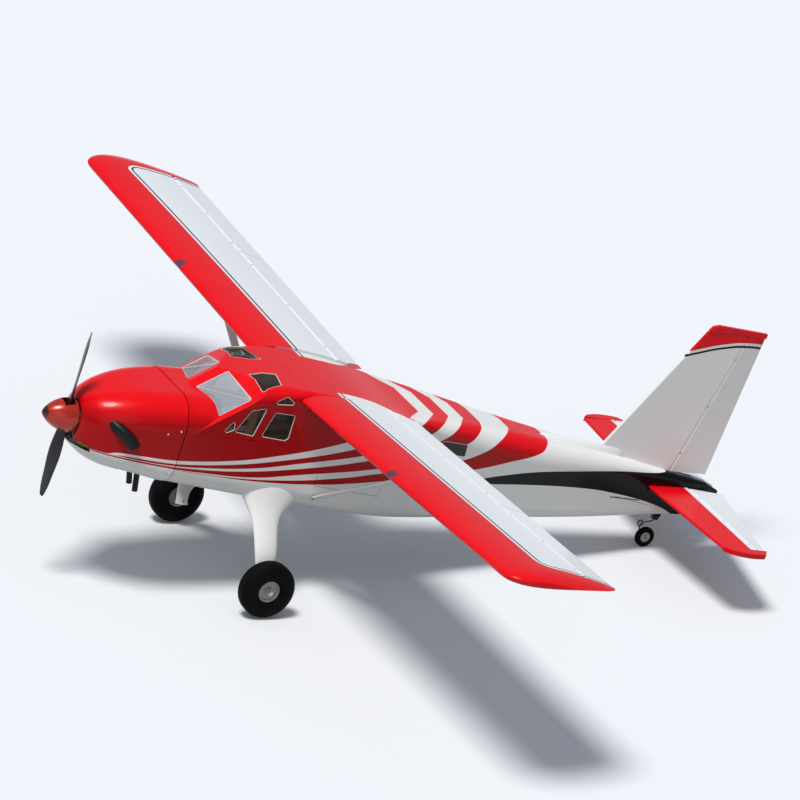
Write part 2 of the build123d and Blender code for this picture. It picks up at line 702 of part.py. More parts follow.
with BuildPart() as elevator:
    loft(sections=[elevator_section(ELEVATOR_ROOT_Y, ELEVATOR_TE_ROOT),
                   elevator_section(ELEVATOR_END_Y, ELEVATOR_TE_TIP)])
    with BuildSketch(Plane.XY.offset(STAB_Z - ELEVATOR_HALF)) as tip_plan:
        with BuildLine():
            inner = -STAB_HALF_SPAN - SURFACE_GAP / 2
            Polyline((ELEVATOR_HINGE_X + 20, inner + 4), (ELEVATOR_HINGE_X, inner),
                     (STAB_LE_TIP + 1, inner), (STAB_LE_TIP + 12, inner - 12))
            ThreePointArc((STAB_LE_TIP + 12, inner - 12), (1500.0, -TAIL_HALF_SPAN + 1.5),
                          (1545.0, -TAIL_HALF_SPAN + 6))
            Polyline((1545.0, -TAIL_HALF_SPAN + 6), (ELEVATOR_TE_TIP, inner),
                     (ELEVATOR_HINGE_X + 20, inner + 4))
        make_face()
    extrude(amount=2 * ELEVATOR_HALF)
    for y in ELEVATOR_STATIONS:
        cut_hinge(Vector(ELEVATOR_HINGE_X, -y, STAB_Z), ELEVATOR_AXIS, ELEVATOR_HALF)
    rod((ELEVATOR_HINGE_X, 0, STAB_Z), (ELEVATOR_HINGE_X, -JOINER_WIRE_REACH - 1, STAB_Z),
        JOINER_WIRE, mode=Mode.SUBTRACT)
keep("elevators", both_sides(elevator))

with BuildPart() as elevator_joiner:
    rod((ELEVATOR_HINGE_X, JOINER_WIRE_REACH, STAB_Z),
        (ELEVATOR_HINGE_X, -JOINER_WIRE_REACH, STAB_Z), JOINER_WIRE)
keep("elevator_joiner", elevator_joiner)

with BuildPart() as wing_hinges:
    for y in FLAP_STATIONS + AILERON_STATIONS:
        add_hinge(hinge_point(y), SPANWISE, hinge_point(y).X - WING_CUT_X)
with BuildPart() as tail_hinges:
    for y in ELEVATOR_STATIONS:
        add_hinge(Vector(ELEVATOR_HINGE_X, -y, STAB_Z), ELEVATOR_AXIS,
                  ELEVATOR_HINGE_X - STAB_CUT_X)
with BuildPart() as fin_hinges:
    for z in RUDDER_STATIONS:
        nose = rudder_nose(z) / RUDDER_AXIS.Z
        add_hinge(rudder_hinge(z), RUDDER_AXIS, (nose + HINGE_GAP) * RUDDER_AXIS.Z - 0.1)
with BuildPart() as hinges:
    add(both_sides(wing_hinges).part)
    add(both_sides(tail_hinges).part)
    add(fin_hinges.part)
keep("hinges", hinges)

# ---- fuselage -----------------------------------------------------------------------------

TUBE_HOLE = 1.0

with BuildPart() as fuselage:
    add(shell.part)
    add(seam_prism(SEAM).part, mode=Mode.SUBTRACT)
    add(stern_cap.part)
    add(rear_prism.part, mode=Mode.SUBTRACT)
    mirror(rear_prism.part, about=Plane.XZ, mode=Mode.SUBTRACT)
    block((STAB_LE_ROOT - 2, -60, STAB_Z - STAB_HALF_THICKNESS - STERN_SLOT),
          (ELEVATOR_HINGE_X + STAB_HALF_THICKNESS, 60, STAB_Z + STAB_HALF_THICKNESS + STERN_SLOT),
          mode=Mode.SUBTRACT)
    rod((joiner_root.X, -HALF_WIDTH - 5, joiner_root.Z + 6),
        (joiner_root.X, HALF_WIDTH + 5, joiner_root.Z + 6), JOINER_RADIUS + TUBE_HOLE,
        mode=Mode.SUBTRACT)
keep("fuselage_shell", fuselage)

FORMER = 4.0
FORMER_SLACK = 0.5


def former_plate(x, thickness, hole_share):
    """A plywood frame across the inside of the body, with one large opening."""
    x_, top, bottom, half_width, top_radius, bottom_radius = frame_at(BODY_FRAMES, x)
    inset = WALL + FORMER_SLACK
    frame = (x_, top, bottom, half_width, top_radius, bottom_radius)
    with BuildPart() as plate:
        extrude(frame_sketch(frame, inset + 2.0).sketch, amount=thickness)
        if hole_share:
            with BuildSketch(Plane.YZ.offset(x)) as opening:
                with Locations((0, (top + bottom) / 2)):
                    RectangleRounded(2 * half_width * hole_share,
                                     (top - bottom) * hole_share, 12.0)
            extrude(opening.sketch, amount=thickness, mode=Mode.SUBTRACT)
    return plate


FORMER_STATIONS = [532.0, 766.0, 1000.0]
FORMER_OPENING = 0.7        # share of the frame that is cut out

with BuildPart() as formers:
    for x in FORMER_STATIONS:
        add(former_plate(x, FORMER, FORMER_OPENING).part)
keep("fuselage_formers", formers)

FIREWALL_X = NOSE_X + 1.0
FIREWALL = 6.0
LINE_HOLE = 5.0
TANK_LINE_Y = -38.0
TANK_LINE_Z = -20.0

with BuildPart() as firewall:
    extrude(frame_sketch((FIREWALL_X, *DECK_FRAMES[0][1:]), WALL + 1.0).sketch, amount=FIREWALL)
    rod((FIREWALL_X - 1, TANK_LINE_Y, TANK_LINE_Z), (FIREWALL_X + 20, TANK_LINE_Y, TANK_LINE_Z),
        LINE_HOLE, mode=Mode.SUBTRACT)
keep("firewall", firewall)

# ---- cowl ---------------------------------------------------------------------------------

CHIN_LOW, CHIN_HIGH = (40.0, -66.0, -50.0), (96.0, 66.0, -37.0)
TUBES = [(220.0, -20.0), (238.0, -20.0)]
TUBE_FEET = [-122.0, -138.0]
TUBE_RADIUS = 6.0
TUBE_SLOT = 11.0            # from the middle of a tube to the edge of its opening
SCREW_RADIUS = 1.5
SCREWS = [(250.0, 40.0), (250.0, -52.0), (225.0, 30.0)]

with BuildPart() as port_screws:
    for x, z in SCREWS:
        y = frame_at(COWL_FRAMES, x)[3]
        rod((x, -y + 1.0 - COWL_WALL, z), (x, -y - 1.6, z), SCREW_RADIUS)
        with Locations((x, -y - 1.0, z)):
            Sphere(SCREW_RADIUS * 1.7)
screws = both_sides(port_screws)
keep("screws", screws)

with BuildPart() as cowl:
    loft(sections=[frame_sketch(frame).sketch for frame in COWL_FRAMES])
    loft(sections=[frame_sketch(frame, COWL_WALL).sketch for frame in COWL_FRAMES],
         mode=Mode.SUBTRACT)
    fillet(cowl.faces().sort_by(Axis.X)[0].outer_wire().edges(), radius=COWL_WALL * 0.6)
    block(CHIN_LOW, CHIN_HIGH, mode=Mode.SUBTRACT)
    block((TUBES[0][0] - TUBE_SLOT, TUBES[0][1] - TUBE_SLOT, -95),
          (COWL_REAR_X + 5, TUBES[0][1] + TUBE_SLOT, -65), mode=Mode.SUBTRACT)
    add(screws.part, mode=Mode.SUBTRACT)
keep("cowl", cowl)

# Dummy turbine exhausts, one on each cheek of the cowl: a bent pipe with an open end.
STACK_ROUTE = [(118.0, -66.0, 22.0), (130.0, -88.0, 18.0), (148.0, -106.0, 6.0),
               (162.0, -115.0, -8.0)]
STACK_RADIUS = 12.5
STACK_BORE = 10.0
STACK_BORE_DEPTH = 14.0

with BuildPart() as cowl_solid:
    loft(sections=[frame_sketch(frame).sketch for frame in COWL_FRAMES])

with BuildPart() as stack:
    with BuildLine() as route:
        Spline(*STACK_ROUTE)
    with BuildSketch(Plane(origin=route.line @ 0, z_dir=route.line % 0)) as section:
        Circle(STACK_RADIUS)
    sweep(sections=section.sketch, path=route.line)
    outlet, outward = route.line @ 1, route.line % 1
    rod(outlet - outward * STACK_BORE_DEPTH, outlet + outward * 2, STACK_BORE, mode=Mode.SUBTRACT)
    add(cowl_solid.part, mode=Mode.SUBTRACT)
keep("exhaust_stacks", both_sides(stack))

# ---- propeller, spinner and engine --------------------------------------------------------

BACKPLATE_X = SPINNER_LENGTH - BACKPLATE
HUB_FRONT_X = BACKPLATE_X - PROP_HUB_LENGTH
BLADE_SECTIONS = [          # radius, chord, thickness, twist from the disc
    (12.0, 15.0, 9.0, 36.0),
    (45.0, 24.0, 6.5, 30.0),
    (100.0, 31.0, 4.2, 22.0),
    (150.0, 24.0, 2.8, 15.0),
    (179.0, 11.0, 1.6, 12.0),
]
PROP_MID_X = HUB_FRONT_X + PROP_HUB_LENGTH / 2


def blade_section(radius, chord, thickness, twist):
    """A flattened oval across the blade, turned by its twist."""
    plane = Plane(origin=(PROP_MID_X, 0, radius), x_dir=(sin(radians(twist)), cos(radians(twist)), 0),
                  z_dir=(0, 0, 1))
    with BuildSketch(plane) as section:
        Ellipse(chord / 2, thickness / 2)
    return section.sketch


with BuildPart() as blade:
    loft(sections=[blade_section(*row) for row in BLADE_SECTIONS])
with BuildPart() as propeller:
    rod((HUB_FRONT_X, 0, 0), (BACKPLATE_X, 0, 0), PROP_HUB_RADIUS)
    add(blade.part)
    add(blade.part.rotate(Axis.X, 180))
    rod((HUB_FRONT_X - 1, 0, 0), (BACKPLATE_X + 1, 0, 0), SHAFT_RADIUS + FIT, mode=Mode.SUBTRACT)
keep("propeller", propeller)

BLADE_SLOT = (36.0, 24.0)   # opening of the cone for a blade, across and along


def ogive(radius, length, start_x):
    """The half outline of a pointed cone, from its tip aft to its base."""
    return [(start_x + length * share, radius * sin(pi / 2 * share**0.8) ** 0.9)
            for share in (0.0, 0.04, 0.12, 0.25, 0.42, 0.62, 0.82, 1.0)]


def cone_solid(radius, length, start_x, mode):
    """Turn the ogive about the propeller axis."""
    points = ogive(radius, length, start_x)
    with BuildSketch() as half:
        with BuildLine():
            Spline(*points)
            Polyline(points[-1], (points[-1][0], 0), points[0])
        make_face()
    revolve(half.sketch, axis=Axis.X, mode=mode)


with BuildPart() as spinner:
    cone_solid(SPINNER_DIAMETER / 2, BACKPLATE_X, 0.0, Mode.ADD)
    cone_solid(SPINNER_DIAMETER / 2 - SPINNER_WALL, BACKPLATE_X - SPINNER_WALL,
               SPINNER_WALL + 0.001, Mode.SUBTRACT)
    with Locations((BACKPLATE_X - BLADE_SLOT[1] / 2, 0, 0)):
        Box(BLADE_SLOT[1], BLADE_SLOT[0], SPINNER_DIAMETER + 2, mode=Mode.SUBTRACT)
keep("spinner_cone", spinner)

with BuildPart() as backplate:
    rod((BACKPLATE_X, 0, 0), (SPINNER_LENGTH, 0, 0), SPINNER_DIAMETER / 2)
    rod((BACKPLATE_X - 1, 0, 0), (SPINNER_LENGTH + 1, 0, 0), SHAFT_RADIUS + FIT,
        mode=Mode.SUBTRACT)
keep("spinner_backplate", backplate)

NUT_FRONT_X = HUB_FRONT_X - 8.0
with BuildPart() as prop_nut:
    with BuildSketch(Plane.YZ.offset(NUT_FRONT_X)) as hexagon:
        RegularPolygon(9.0, 6)
        Circle(SHAFT_RADIUS + FIT, mode=Mode.SUBTRACT)
    extrude(hexagon.sketch, amount=HUB_FRONT_X - NUT_FRONT_X)
keep("prop_nut", prop_nut)

DRIVER_REAR_X = SPINNER_LENGTH + 10.0
SNOUT_X = DRIVER_REAR_X + SEAM
CASE_X, CASE_REAR_X = 120.0, 182.0
MOUNT_PLATE_X = FIREWALL_X - 7.0

with BuildPart() as crankshaft:
    rod((NUT_FRONT_X - 3, 0, 0), (CASE_X + 20, 0, 0), SHAFT_RADIUS)
    rod((SPINNER_LENGTH, 0, 0), (DRIVER_REAR_X, 0, 0), 13.0)
keep("crankshaft", crankshaft)

with BuildPart() as crankcase:
    rod((SNOUT_X, 0, 0), (CASE_X, 0, 0), 14.0)
    block((CASE_X, -26, -27), (CASE_REAR_X, 26, 27))
    fillet(crankcase.edges().filter_by(Axis.X).filter_by(
        lambda edge: edge.center().X > CASE_X + 1), radius=8.0)
    rod((SNOUT_X - 1, 0, 0), (CASE_X + 22, 0, 0), SHAFT_RADIUS + FIT, mode=Mode.SUBTRACT)
keep("crankcase", crankcase)

with BuildPart() as engine_mount:
    block((MOUNT_PLATE_X, -32, -34), (MOUNT_PLATE_X + 6.0, 32, 34))
    for side in (-1, 1):
        inner, outer = sorted((side * 26.5, side * 32.0))
        block((CASE_X + 4, inner, -28), (MOUNT_PLATE_X, outer, -15))
    fillet(engine_mount.edges().filter_by(Axis.X).group_by(Axis.Z)[0], radius=2.0)
keep("engine_mount", engine_mount)

CYLINDER_X = 146.0
HEAD_Y = 78.0
FIN_PITCH = 5.0
with BuildPart() as cylinder:
    rod((CYLINDER_X, 36.5, 0), (CYLINDER_X, HEAD_Y, 0), 15.0)
    for step in range(8):
        y = 42.0 + FIN_PITCH * step
        with BuildSketch(Plane.XZ.offset(-y)) as cooling_fin:
            RectangleRounded(44.0, 46.0, 8.0)
        extrude(cooling_fin.sketch.moved(Location((CYLINDER_X, 0, 0))), amount=1.6)
    block((CYLINDER_X - 13, 26, -13), (CYLINDER_X + 13, 38, 13))
keep("cylinder", cylinder)

with BuildPart() as spark_plug:
    rod((CYLINDER_X, HEAD_Y, 0), (CYLINDER_X, HEAD_Y + 5, 0), 4.5)
    rod((CYLINDER_X, HEAD_Y + 5, 0), (CYLINDER_X, HEAD_Y + 11, 0), 3.0)
keep("spark_plug", spark_plug)

with BuildPart() as carburettor:
    block((CASE_REAR_X, -15, -15), (CASE_REAR_X + 30, 15, 17))
    fillet(carburettor.edges().filter_by(Axis.X), radius=3.0)
    rod((CASE_REAR_X + 16, -22, 2), (CASE_REAR_X + 16, 22, 2), 4.0)
keep("carburettor", carburettor)

with BuildPart() as muffler:
    block((140.0, -34, -64), (242.0, 10, -36))
    fillet(muffler.edges().filter_by(Axis.X), radius=10.0)
    block((CYLINDER_X - 14, 10, -52), (CYLINDER_X + 14, 46, -30))
    for x, y in TUBES:
        rod((x, y, -72), (x, y, -60), TUBE_RADIUS - 2.0)
keep("muffler", muffler)

TUBE_RAKE = 9.0
with BuildPart() as exhaust_tubes:
    for (x, y), foot_z in zip(TUBES, TUBE_FEET):
        top, bend, foot = (x, y, -66.0), (x, y, -88.0), (x + TUBE_RAKE, y, foot_z)
        for radius, mode in ((TUBE_RADIUS, Mode.ADD), (TUBE_RADIUS - 1.95, Mode.SUBTRACT)):
            with BuildLine() as drop:
                FilletPolyline(top, bend, foot, radius=30.0)
            with BuildSketch(Plane(origin=top, z_dir=(0, 0, -1))) as section:
                Circle(radius)
            sweep(sections=section.sketch, path=drop.line, mode=mode)
keep("exhaust_tubes", exhaust_tubes)

# ---- fuel tank and line -------------------------------------------------------------------

TANK_X, TANK_REAR_X = 282.0, 400.0
TANK_FLOOR_Z = -74.0
with BuildPart() as fuel_tank:
    block((TANK_X, -45, TANK_FLOOR_Z), (TANK_REAR_X, 45, -6))
    fillet(fuel_tank.edges().filter_by(Axis.X), radius=14.0)
    rod((TANK_X - 6, TANK_LINE_Y, TANK_LINE_Z), (TANK_X + 8, TANK_LINE_Y, TANK_LINE_Z), 5.0)
keep("fuel_tank", fuel_tank)

# The filler line leaves the tank, passes the firewall and hangs in a loop behind the chin inlet.
LINE_RADIUS = 2.8
LINE_ROUTE = [
    (TANK_X - 6.0, TANK_LINE_Y, TANK_LINE_Z), (244.0, TANK_LINE_Y, TANK_LINE_Z),
    (205.0, -54.0, -24.0), (155.0, -60.0, -36.0), (118.0, -56.0, -43.0), (96.0, -45.0, -45.0),
    (87.0, -24.0, -46.0), (87.0, 0.0, -45.0), (95.0, 20.0, -43.0), (116.0, 30.0, -40.0),
]


def line_radii(route):
    """The largest even arcs that the runs on either side of each corner allow."""
    points = [Vector(*point) for point in route]
    radii = []
    for before, corner, after in zip(points, points[1:], points[2:]):
        first, second = corner - before, after - corner
        half_turn = radians(first.get_angle(second)) / 2
        radii.append(0.45 * min(first.length, second.length) / (sin(half_turn) / cos(half_turn)))
    return radii


with BuildPart() as fuel_line:
    with BuildLine() as path:
        FilletPolyline(*LINE_ROUTE, radius=line_radii(LINE_ROUTE))
    with BuildSketch(Plane(origin=path.line @ 0, z_dir=path.line % 0)) as section:
        Circle(LINE_RADIUS)
    sweep(sections=section.sketch, path=path.line)
keep("fuel_line", fuel_line)

TRAY_Z = -52.0
with BuildPart() as radio_tray:
    block((560.0, -80, TRAY_Z), (700.0, 80, TRAY_Z + 4))
    for y in (-45.0, 45.0):
        block((600.0, y - 11, TRAY_Z - 1), (642.0, y + 11, TRAY_Z + 5), mode=Mode.SUBTRACT)
keep("radio_tray", radio_tray)

with BuildPart() as tail_servo:
    block((601.0, -55, TRAY_Z - 24), (641.0, -35, TRAY_Z + 14))
    rod((630.0, -45, TRAY_Z + 14), (630.0, -45, TRAY_Z + 20), 3.0)
    block((626.0, -62, TRAY_Z + 20), (634.0, -28, TRAY_Z + 22.5))
keep("tail_servos", both_sides(tail_servo))

# ---- struts -------------------------------------------------------------------------------

strut_foot = Vector(STRUT_FOOT[0], -STRUT_FOOT[1], STRUT_FOOT[2])
head_share = (STRUT_HEAD_X - WING_X) / CHORD
head_under = CHORD * (camber_line(head_share) - half_thickness(head_share, WING_THICKNESS))
strut_head = wing_point(STRUT_HEAD_X - WING_X, head_under - STRUT_HEAD_DROP, STRUT_HEAD_Y)
strut_way = (strut_head - strut_foot).normalized()


def on_strut(y):
    """The strut's axis at a port station."""
    return strut_foot + strut_way * ((-y - strut_foot.Y) / strut_way.Y)


STRUT_END_Y = 446.0
strut_low, strut_high = on_strut(STRUT_FOOT_Y + 4.0), on_strut(STRUT_END_Y)
with BuildPart() as strut:
    plane = Plane(origin=strut_low, x_dir=cross_of(strut_way), z_dir=strut_way)
    with BuildSketch(plane) as section:
        Ellipse(STRUT_CHORD / 2, STRUT_THICKNESS / 2)
    extrude(section.sketch, amount=(strut_high - strut_low).length)
keep("wing_struts", both_sides(strut))

BRACKET_LENGTH = 14.0
with BuildPart() as brackets:
    rod(strut_low - strut_way * BRACKET_LENGTH, strut_low, 2.6)
    rod(strut_high, strut_high + strut_way * BRACKET_LENGTH * 1.6, 2.6)
    add(outer_form.part, mode=Mode.SUBTRACT)
    add(wing_form.part, mode=Mode.SUBTRACT)
keep("strut_brackets", both_sides(brackets))

# ---- main undercarriage -------------------------------------------------------------------

# Each section is (middle x, y, z, half chord, half depth).
LEG_SECTIONS = [
    (501.0, -101.0, -67.0, 66.0, 24.0),
    (494.0, -117.0, -94.0, 51.0, 19.0),
    (488.5, -134.0, -113.0, 35.0, 13.0),
    (487.0, -163.0, -148.0, 26.5, 9.5),
    (487.0, -189.0, -190.0, 22.0, 7.5),
    (WHEEL_X, -193.0, WHEEL_Z - 8.0, 15.0, 5.0),
]
LEG_LEAN = Vector(0, -0.62, -0.785)


def leg_section(x, y, z, half_chord, half_depth):
    """An oval across the undercarriage leg."""
    if z < -200:
        normal = Vector(0, -0.05, -1)
    else:
        normal = LEG_LEAN
    with BuildSketch(Plane(origin=(x, y, z), x_dir=(1, 0, 0), z_dir=normal)) as section:
        Ellipse(half_chord, half_depth)
    return section.sketch


with BuildPart() as leg:
    loft(sections=[leg_section(*row) for row in LEG_SECTIONS])
    add(outer_form.part, mode=Mode.SUBTRACT)
    rod((WHEEL_X, -150, WHEEL_Z), (WHEEL_X, -215, WHEEL_Z), AXLE_RADIUS, mode=Mode.SUBTRACT)
across("gear_leg", leg)

HUB_INNER_Y = WHEEL_Y - HUB_WIDTH / 2
HUB_OUTER_Y = WHEEL_Y + HUB_WIDTH / 2

with BuildPart() as axle:
    rod((WHEEL_X, -(HUB_INNER_Y - 20), WHEEL_Z), (WHEEL_X, -(HUB_OUTER_Y + 9), WHEEL_Z), AXLE_RADIUS)
    rod((WHEEL_X, -(HUB_OUTER_Y + SEAM), WHEEL_Z), (WHEEL_X, -(HUB_OUTER_Y + 6), WHEEL_Z), 5.0)
keep("wheel_axles", both_sides(axle))


def turned(points, centre, smooth=False):
    """Turn a half outline, given as (outboard, radius), about a wheel axle."""
    plane = Plane(origin=centre, x_dir=(0, -1, 0), z_dir=(1, 0, 0))
    with BuildSketch(plane) as half:
        with BuildLine():
            if smooth:
                Spline(*points)
                Line(points[-1], points[0])
            else:
                Polyline(*points, close=True)
        make_face()
    axis = Axis(centre, (0, -1, 0))
    with BuildPart() as body:
        revolve(half.sketch, axis=axis)
    return body


def tyre_outline(width, rim, radius):
    """Half outline of a balloon tyre: a flat seat on the rim and a round crown."""
    half = width / 2
    side = radius - half * 0.98
    return [(half * 0.62, rim), (half * 0.9, rim + (side - rim) * 0.35), (half, side),
            (half * 0.8, side + (radius - side) * 0.6), (half * 0.42, radius * 0.985),
            (0, radius), (-half * 0.42, radius * 0.985),
            (-half * 0.8, side + (radius - side) * 0.6), (-half, side),
            (-half * 0.9, rim + (side - rim) * 0.35), (-half * 0.62, rim)]


def hub_outline(width, bore, radius):
    """Half outline of a turned hub: a boss, a dished web and a rim."""
    half = width / 2
    return [(-half, bore), (half, bore), (half, bore + 4.5), (half * 0.45, bore + 6.0),
            (half * 0.45, radius - 4.0), (half * 0.85, radius - 2.0), (half * 0.85, radius),
            (-half * 0.85, radius), (-half * 0.85, radius - 2.0), (-half * 0.45, radius - 4.0),
            (-half * 0.45, bore + 6.0), (-half, bore + 4.5)]


wheel_centre = Vector(WHEEL_X, -WHEEL_Y, WHEEL_Z)
RIM_GAP = 0.1
across("wheel_hub", turned(hub_outline(HUB_WIDTH, AXLE_RADIUS + FIT, HUB_RADIUS), wheel_centre))
across("tyre", turned(tyre_outline(TYRE_WIDTH, HUB_RADIUS + RIM_GAP, WHEEL_RADIUS), wheel_centre,
                      smooth=True))

# ---- tail wheel ---------------------------------------------------------------------------

tail_centre = Vector(TAIL_WHEEL_X, 0, TAIL_WHEEL_Z)
TAIL_HUB_WIDTH = 11.0
keep("tail_hub", turned(
    [(-TAIL_HUB_WIDTH / 2, TAIL_AXLE_RADIUS + FIT), (TAIL_HUB_WIDTH / 2, TAIL_AXLE_RADIUS + FIT),
     (TAIL_HUB_WIDTH / 2, 4.0), (2.5, 5.0), (2.5, TAIL_HUB_RADIUS - 1.5),
     (TAIL_HUB_WIDTH / 2 - 1, TAIL_HUB_RADIUS), (-TAIL_HUB_WIDTH / 2 + 1, TAIL_HUB_RADIUS),
     (-2.5, TAIL_HUB_RADIUS - 1.5), (-2.5, 5.0), (-TAIL_HUB_WIDTH / 2, 4.0)], tail_centre))
keep("tail_tyre", turned(
    tyre_outline(TAIL_TYRE_WIDTH, TAIL_HUB_RADIUS + RIM_GAP, TAIL_WHEEL_RADIUS), tail_centre,
    smooth=True))

STEER_LOW_Z = -80.0
SPRING_SIDE = 9.5
COIL_RADIUS = 6.0
COIL_CENTRE = Vector(1459.0, 0, -91.0)

with BuildPart() as tail_bracket:
    with BuildSketch(Plane.XZ.offset(-5.0)) as wedge:
        Polygon((1466.0, -50.0), (1497.0, -50.0), (1494.0, -66.0), (1490.0, -76.0),
                (1479.0, -76.0), (1477.0, -68.0), align=None)
    extrude(wedge.sketch, amount=10.0)
    rod((STEER_X, 0, -90), (STEER_X, 0, -40), SPRING_WIRE + FIT, mode=Mode.SUBTRACT)
    add(outer_form.part, mode=Mode.SUBTRACT)
keep("tail_bracket", tail_bracket)

SPRING_ROUTE = [
    (STEER_X, 0, -62.0), (STEER_X, 0, STEER_LOW_Z), (1463.0, SPRING_SIDE - 3, -90.0),
    (1462.0, SPRING_SIDE, -103.0), (TAIL_WHEEL_X, SPRING_SIDE, TAIL_WHEEL_Z),
    (TAIL_WHEEL_X, -SPRING_SIDE + 1, TAIL_WHEEL_Z),
]
with BuildPart() as tail_spring:
    with BuildLine() as path:
        FilletPolyline(*SPRING_ROUTE, radius=[4.0, 4.0, 4.0, 2.6])
    with BuildSketch(Plane(origin=SPRING_ROUTE[0], z_dir=(0, 0, -1))) as section:
        Circle(SPRING_WIRE)
    sweep(sections=section.sketch, path=path.line)
    with Locations(Location((COIL_CENTRE.X, SPRING_SIDE - 4, COIL_CENTRE.Z), (90, 0, 0))):
        Torus(COIL_RADIUS, SPRING_WIRE)
keep("tail_spring", tail_spring)

# ---- stand the model on its wheels --------------------------------------------------------

wheel_run = hypot(TAIL_WHEEL_X - WHEEL_X, TAIL_WHEEL_Z - WHEEL_Z)
STANCE_ANGLE = degrees(atan2(TAIL_WHEEL_Z - WHEEL_Z, TAIL_WHEEL_X - WHEEL_X)
                       + asin((WHEEL_RADIUS - TAIL_WHEEL_RADIUS) / wheel_run))
nose_up = Location((0, 0, 0), (0, STANCE_ANGLE, 0))
tilted = Compound(children=[part.moved(nose_up) for part in PARTS.values()]).bounding_box()
ground = (nose_up * Location((WHEEL_X, 0, WHEEL_Z))).position.Z - WHEEL_RADIUS
STANCE = Location((-(tilted.min.X + tilted.max.X) / 2, 0, -ground)) * nose_up

os.makedirs("parts", exist_ok=True)
for name, part in PARTS.items():
    posed = part.moved(STANCE)
    posed.label = name
    export_step(posed, f"parts/{name}.step")
print(f"{len(PARTS)} pieces, nose up {STANCE_ANGLE:.3f} degrees")
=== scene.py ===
import json
from math import cos, radians, sin

import bmesh
import bpy
from mathutils import Matrix, Vector


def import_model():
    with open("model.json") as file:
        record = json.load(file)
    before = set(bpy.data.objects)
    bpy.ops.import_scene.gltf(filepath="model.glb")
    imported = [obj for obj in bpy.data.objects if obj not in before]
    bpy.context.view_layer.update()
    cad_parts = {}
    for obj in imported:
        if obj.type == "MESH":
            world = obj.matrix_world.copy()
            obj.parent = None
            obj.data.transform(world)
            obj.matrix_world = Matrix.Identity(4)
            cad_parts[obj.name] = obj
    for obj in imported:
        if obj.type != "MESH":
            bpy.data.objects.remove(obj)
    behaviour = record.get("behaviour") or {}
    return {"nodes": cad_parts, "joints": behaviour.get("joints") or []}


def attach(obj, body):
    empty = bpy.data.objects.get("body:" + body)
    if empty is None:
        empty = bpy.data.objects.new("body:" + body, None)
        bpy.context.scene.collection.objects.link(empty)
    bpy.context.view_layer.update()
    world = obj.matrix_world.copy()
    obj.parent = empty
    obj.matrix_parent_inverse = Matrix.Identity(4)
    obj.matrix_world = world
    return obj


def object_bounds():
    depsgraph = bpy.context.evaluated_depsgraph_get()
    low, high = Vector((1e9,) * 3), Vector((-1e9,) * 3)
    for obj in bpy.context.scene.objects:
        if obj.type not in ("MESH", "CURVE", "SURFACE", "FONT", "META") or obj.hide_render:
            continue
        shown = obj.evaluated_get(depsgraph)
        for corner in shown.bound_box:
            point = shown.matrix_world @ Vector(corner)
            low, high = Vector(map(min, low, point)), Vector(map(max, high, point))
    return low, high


# A high-wing radio-control model aircraft, standing on its wheels. Lengths named here are in
# millimetres of the level flight datum: x aft of the spinner tip, y to starboard, z up. The
# propeller's joint in the frame says where that datum stands in the world.

MM = 0.001
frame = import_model()
cad_box = [list(corner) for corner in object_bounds()]

spin = next(joint for joint in frame["joints"] if joint["name"] == "propeller_spin")
AFT = Vector(spin["axis"]).normalized()
UP = Vector((-AFT.z, 0.0, AFT.x))
SPINNER_REACH = 60.0
ORIGIN = Vector(spin["pos_m"]) - AFT * SPINNER_REACH * MM


def turned(x, y, z):
    """A datum direction in the world."""
    return AFT * x + Vector((0.0, y, 0.0)) + UP * z


def world(x, y, z):
    """A datum point in the world, in metres."""
    return ORIGIN + turned(x, y, z) * MM


# ---- camera, light and floor ---------------------------------------------------------------

CAMERA_PLACE = (-6502.8, -11481.1, 4547.0)
CAMERA_RIGHT = (0.85358, -0.42761, 0.29757)
CAMERA_UP = (-0.10645, 0.41598, 0.90312)
LENS = 315.6
SENSOR = 36.0
FAR_CLIP = 200.0


def make_camera():
    """A long lens from ahead, to port and above, tilted so that the model looks banked."""
    data = bpy.data.cameras.new("camera")
    data.lens = LENS
    data.sensor_width = SENSOR
    data.clip_end = FAR_CLIP
    camera = bpy.data.objects.new("camera", data)
    bpy.context.scene.collection.objects.link(camera)
    right = turned(*CAMERA_RIGHT).normalized()
    back = right.cross(turned(*CAMERA_UP)).normalized()
    up = back.cross(right)
    turn = Matrix((right, up, back)).transposed().to_4x4()
    camera.matrix_world = Matrix.Translation(world(*CAMERA_PLACE)) @ turn
    bpy.context.scene.camera = camera


def sun_light(name, direction, strength, spread, tint):
    """A broad sun that shines along a world direction; its spread in degrees softens shadows."""
    data = bpy.data.lights.new(name, "SUN")
    data.energy = strength
    data.angle = radians(spread)
    data.color = tint
    lamp = bpy.data.objects.new(name, data)
    bpy.context.scene.collection.objects.link(lamp)
    lamp.rotation_euler = Vector(direction).to_track_quat("-Z", "Y").to_euler()


# Each sun: its direction in the world, strength, spread in degrees and tint.
SUNS = {
    "key": ((0.35, 0.14, -1.0), 2.75, 16.0, (1.0, 0.985, 0.96)),
    "fill": ((0.55, 1.0, -0.42), 0.22, 40.0, (1.0, 0.99, 0.97)),
}
SKY_TINT = (0.78, 0.87, 1.0, 1.0)
SKY_STRENGTH = 0.36


def make_lights():
    """A soft key from high ahead, a weak fill from port and a dim even sky."""
    for name, (direction, strength, spread, tint) in SUNS.items():
        sun_light(name, direction, strength, spread, tint)
    sky = bpy.data.worlds.new("sky")
    sky.use_nodes = True
    background = sky.node_tree.nodes["Background"]
    background.inputs["Color"].default_value = SKY_TINT
    background.inputs["Strength"].default_value = SKY_STRENGTH
    bpy.context.scene.world = sky


# ---- shader graphs -------------------------------------------------------------------------

SOFT_EDGE = 0.7             # how far a painted edge blurs
SOFT_STROKE = 0.5           # the same for a thin line

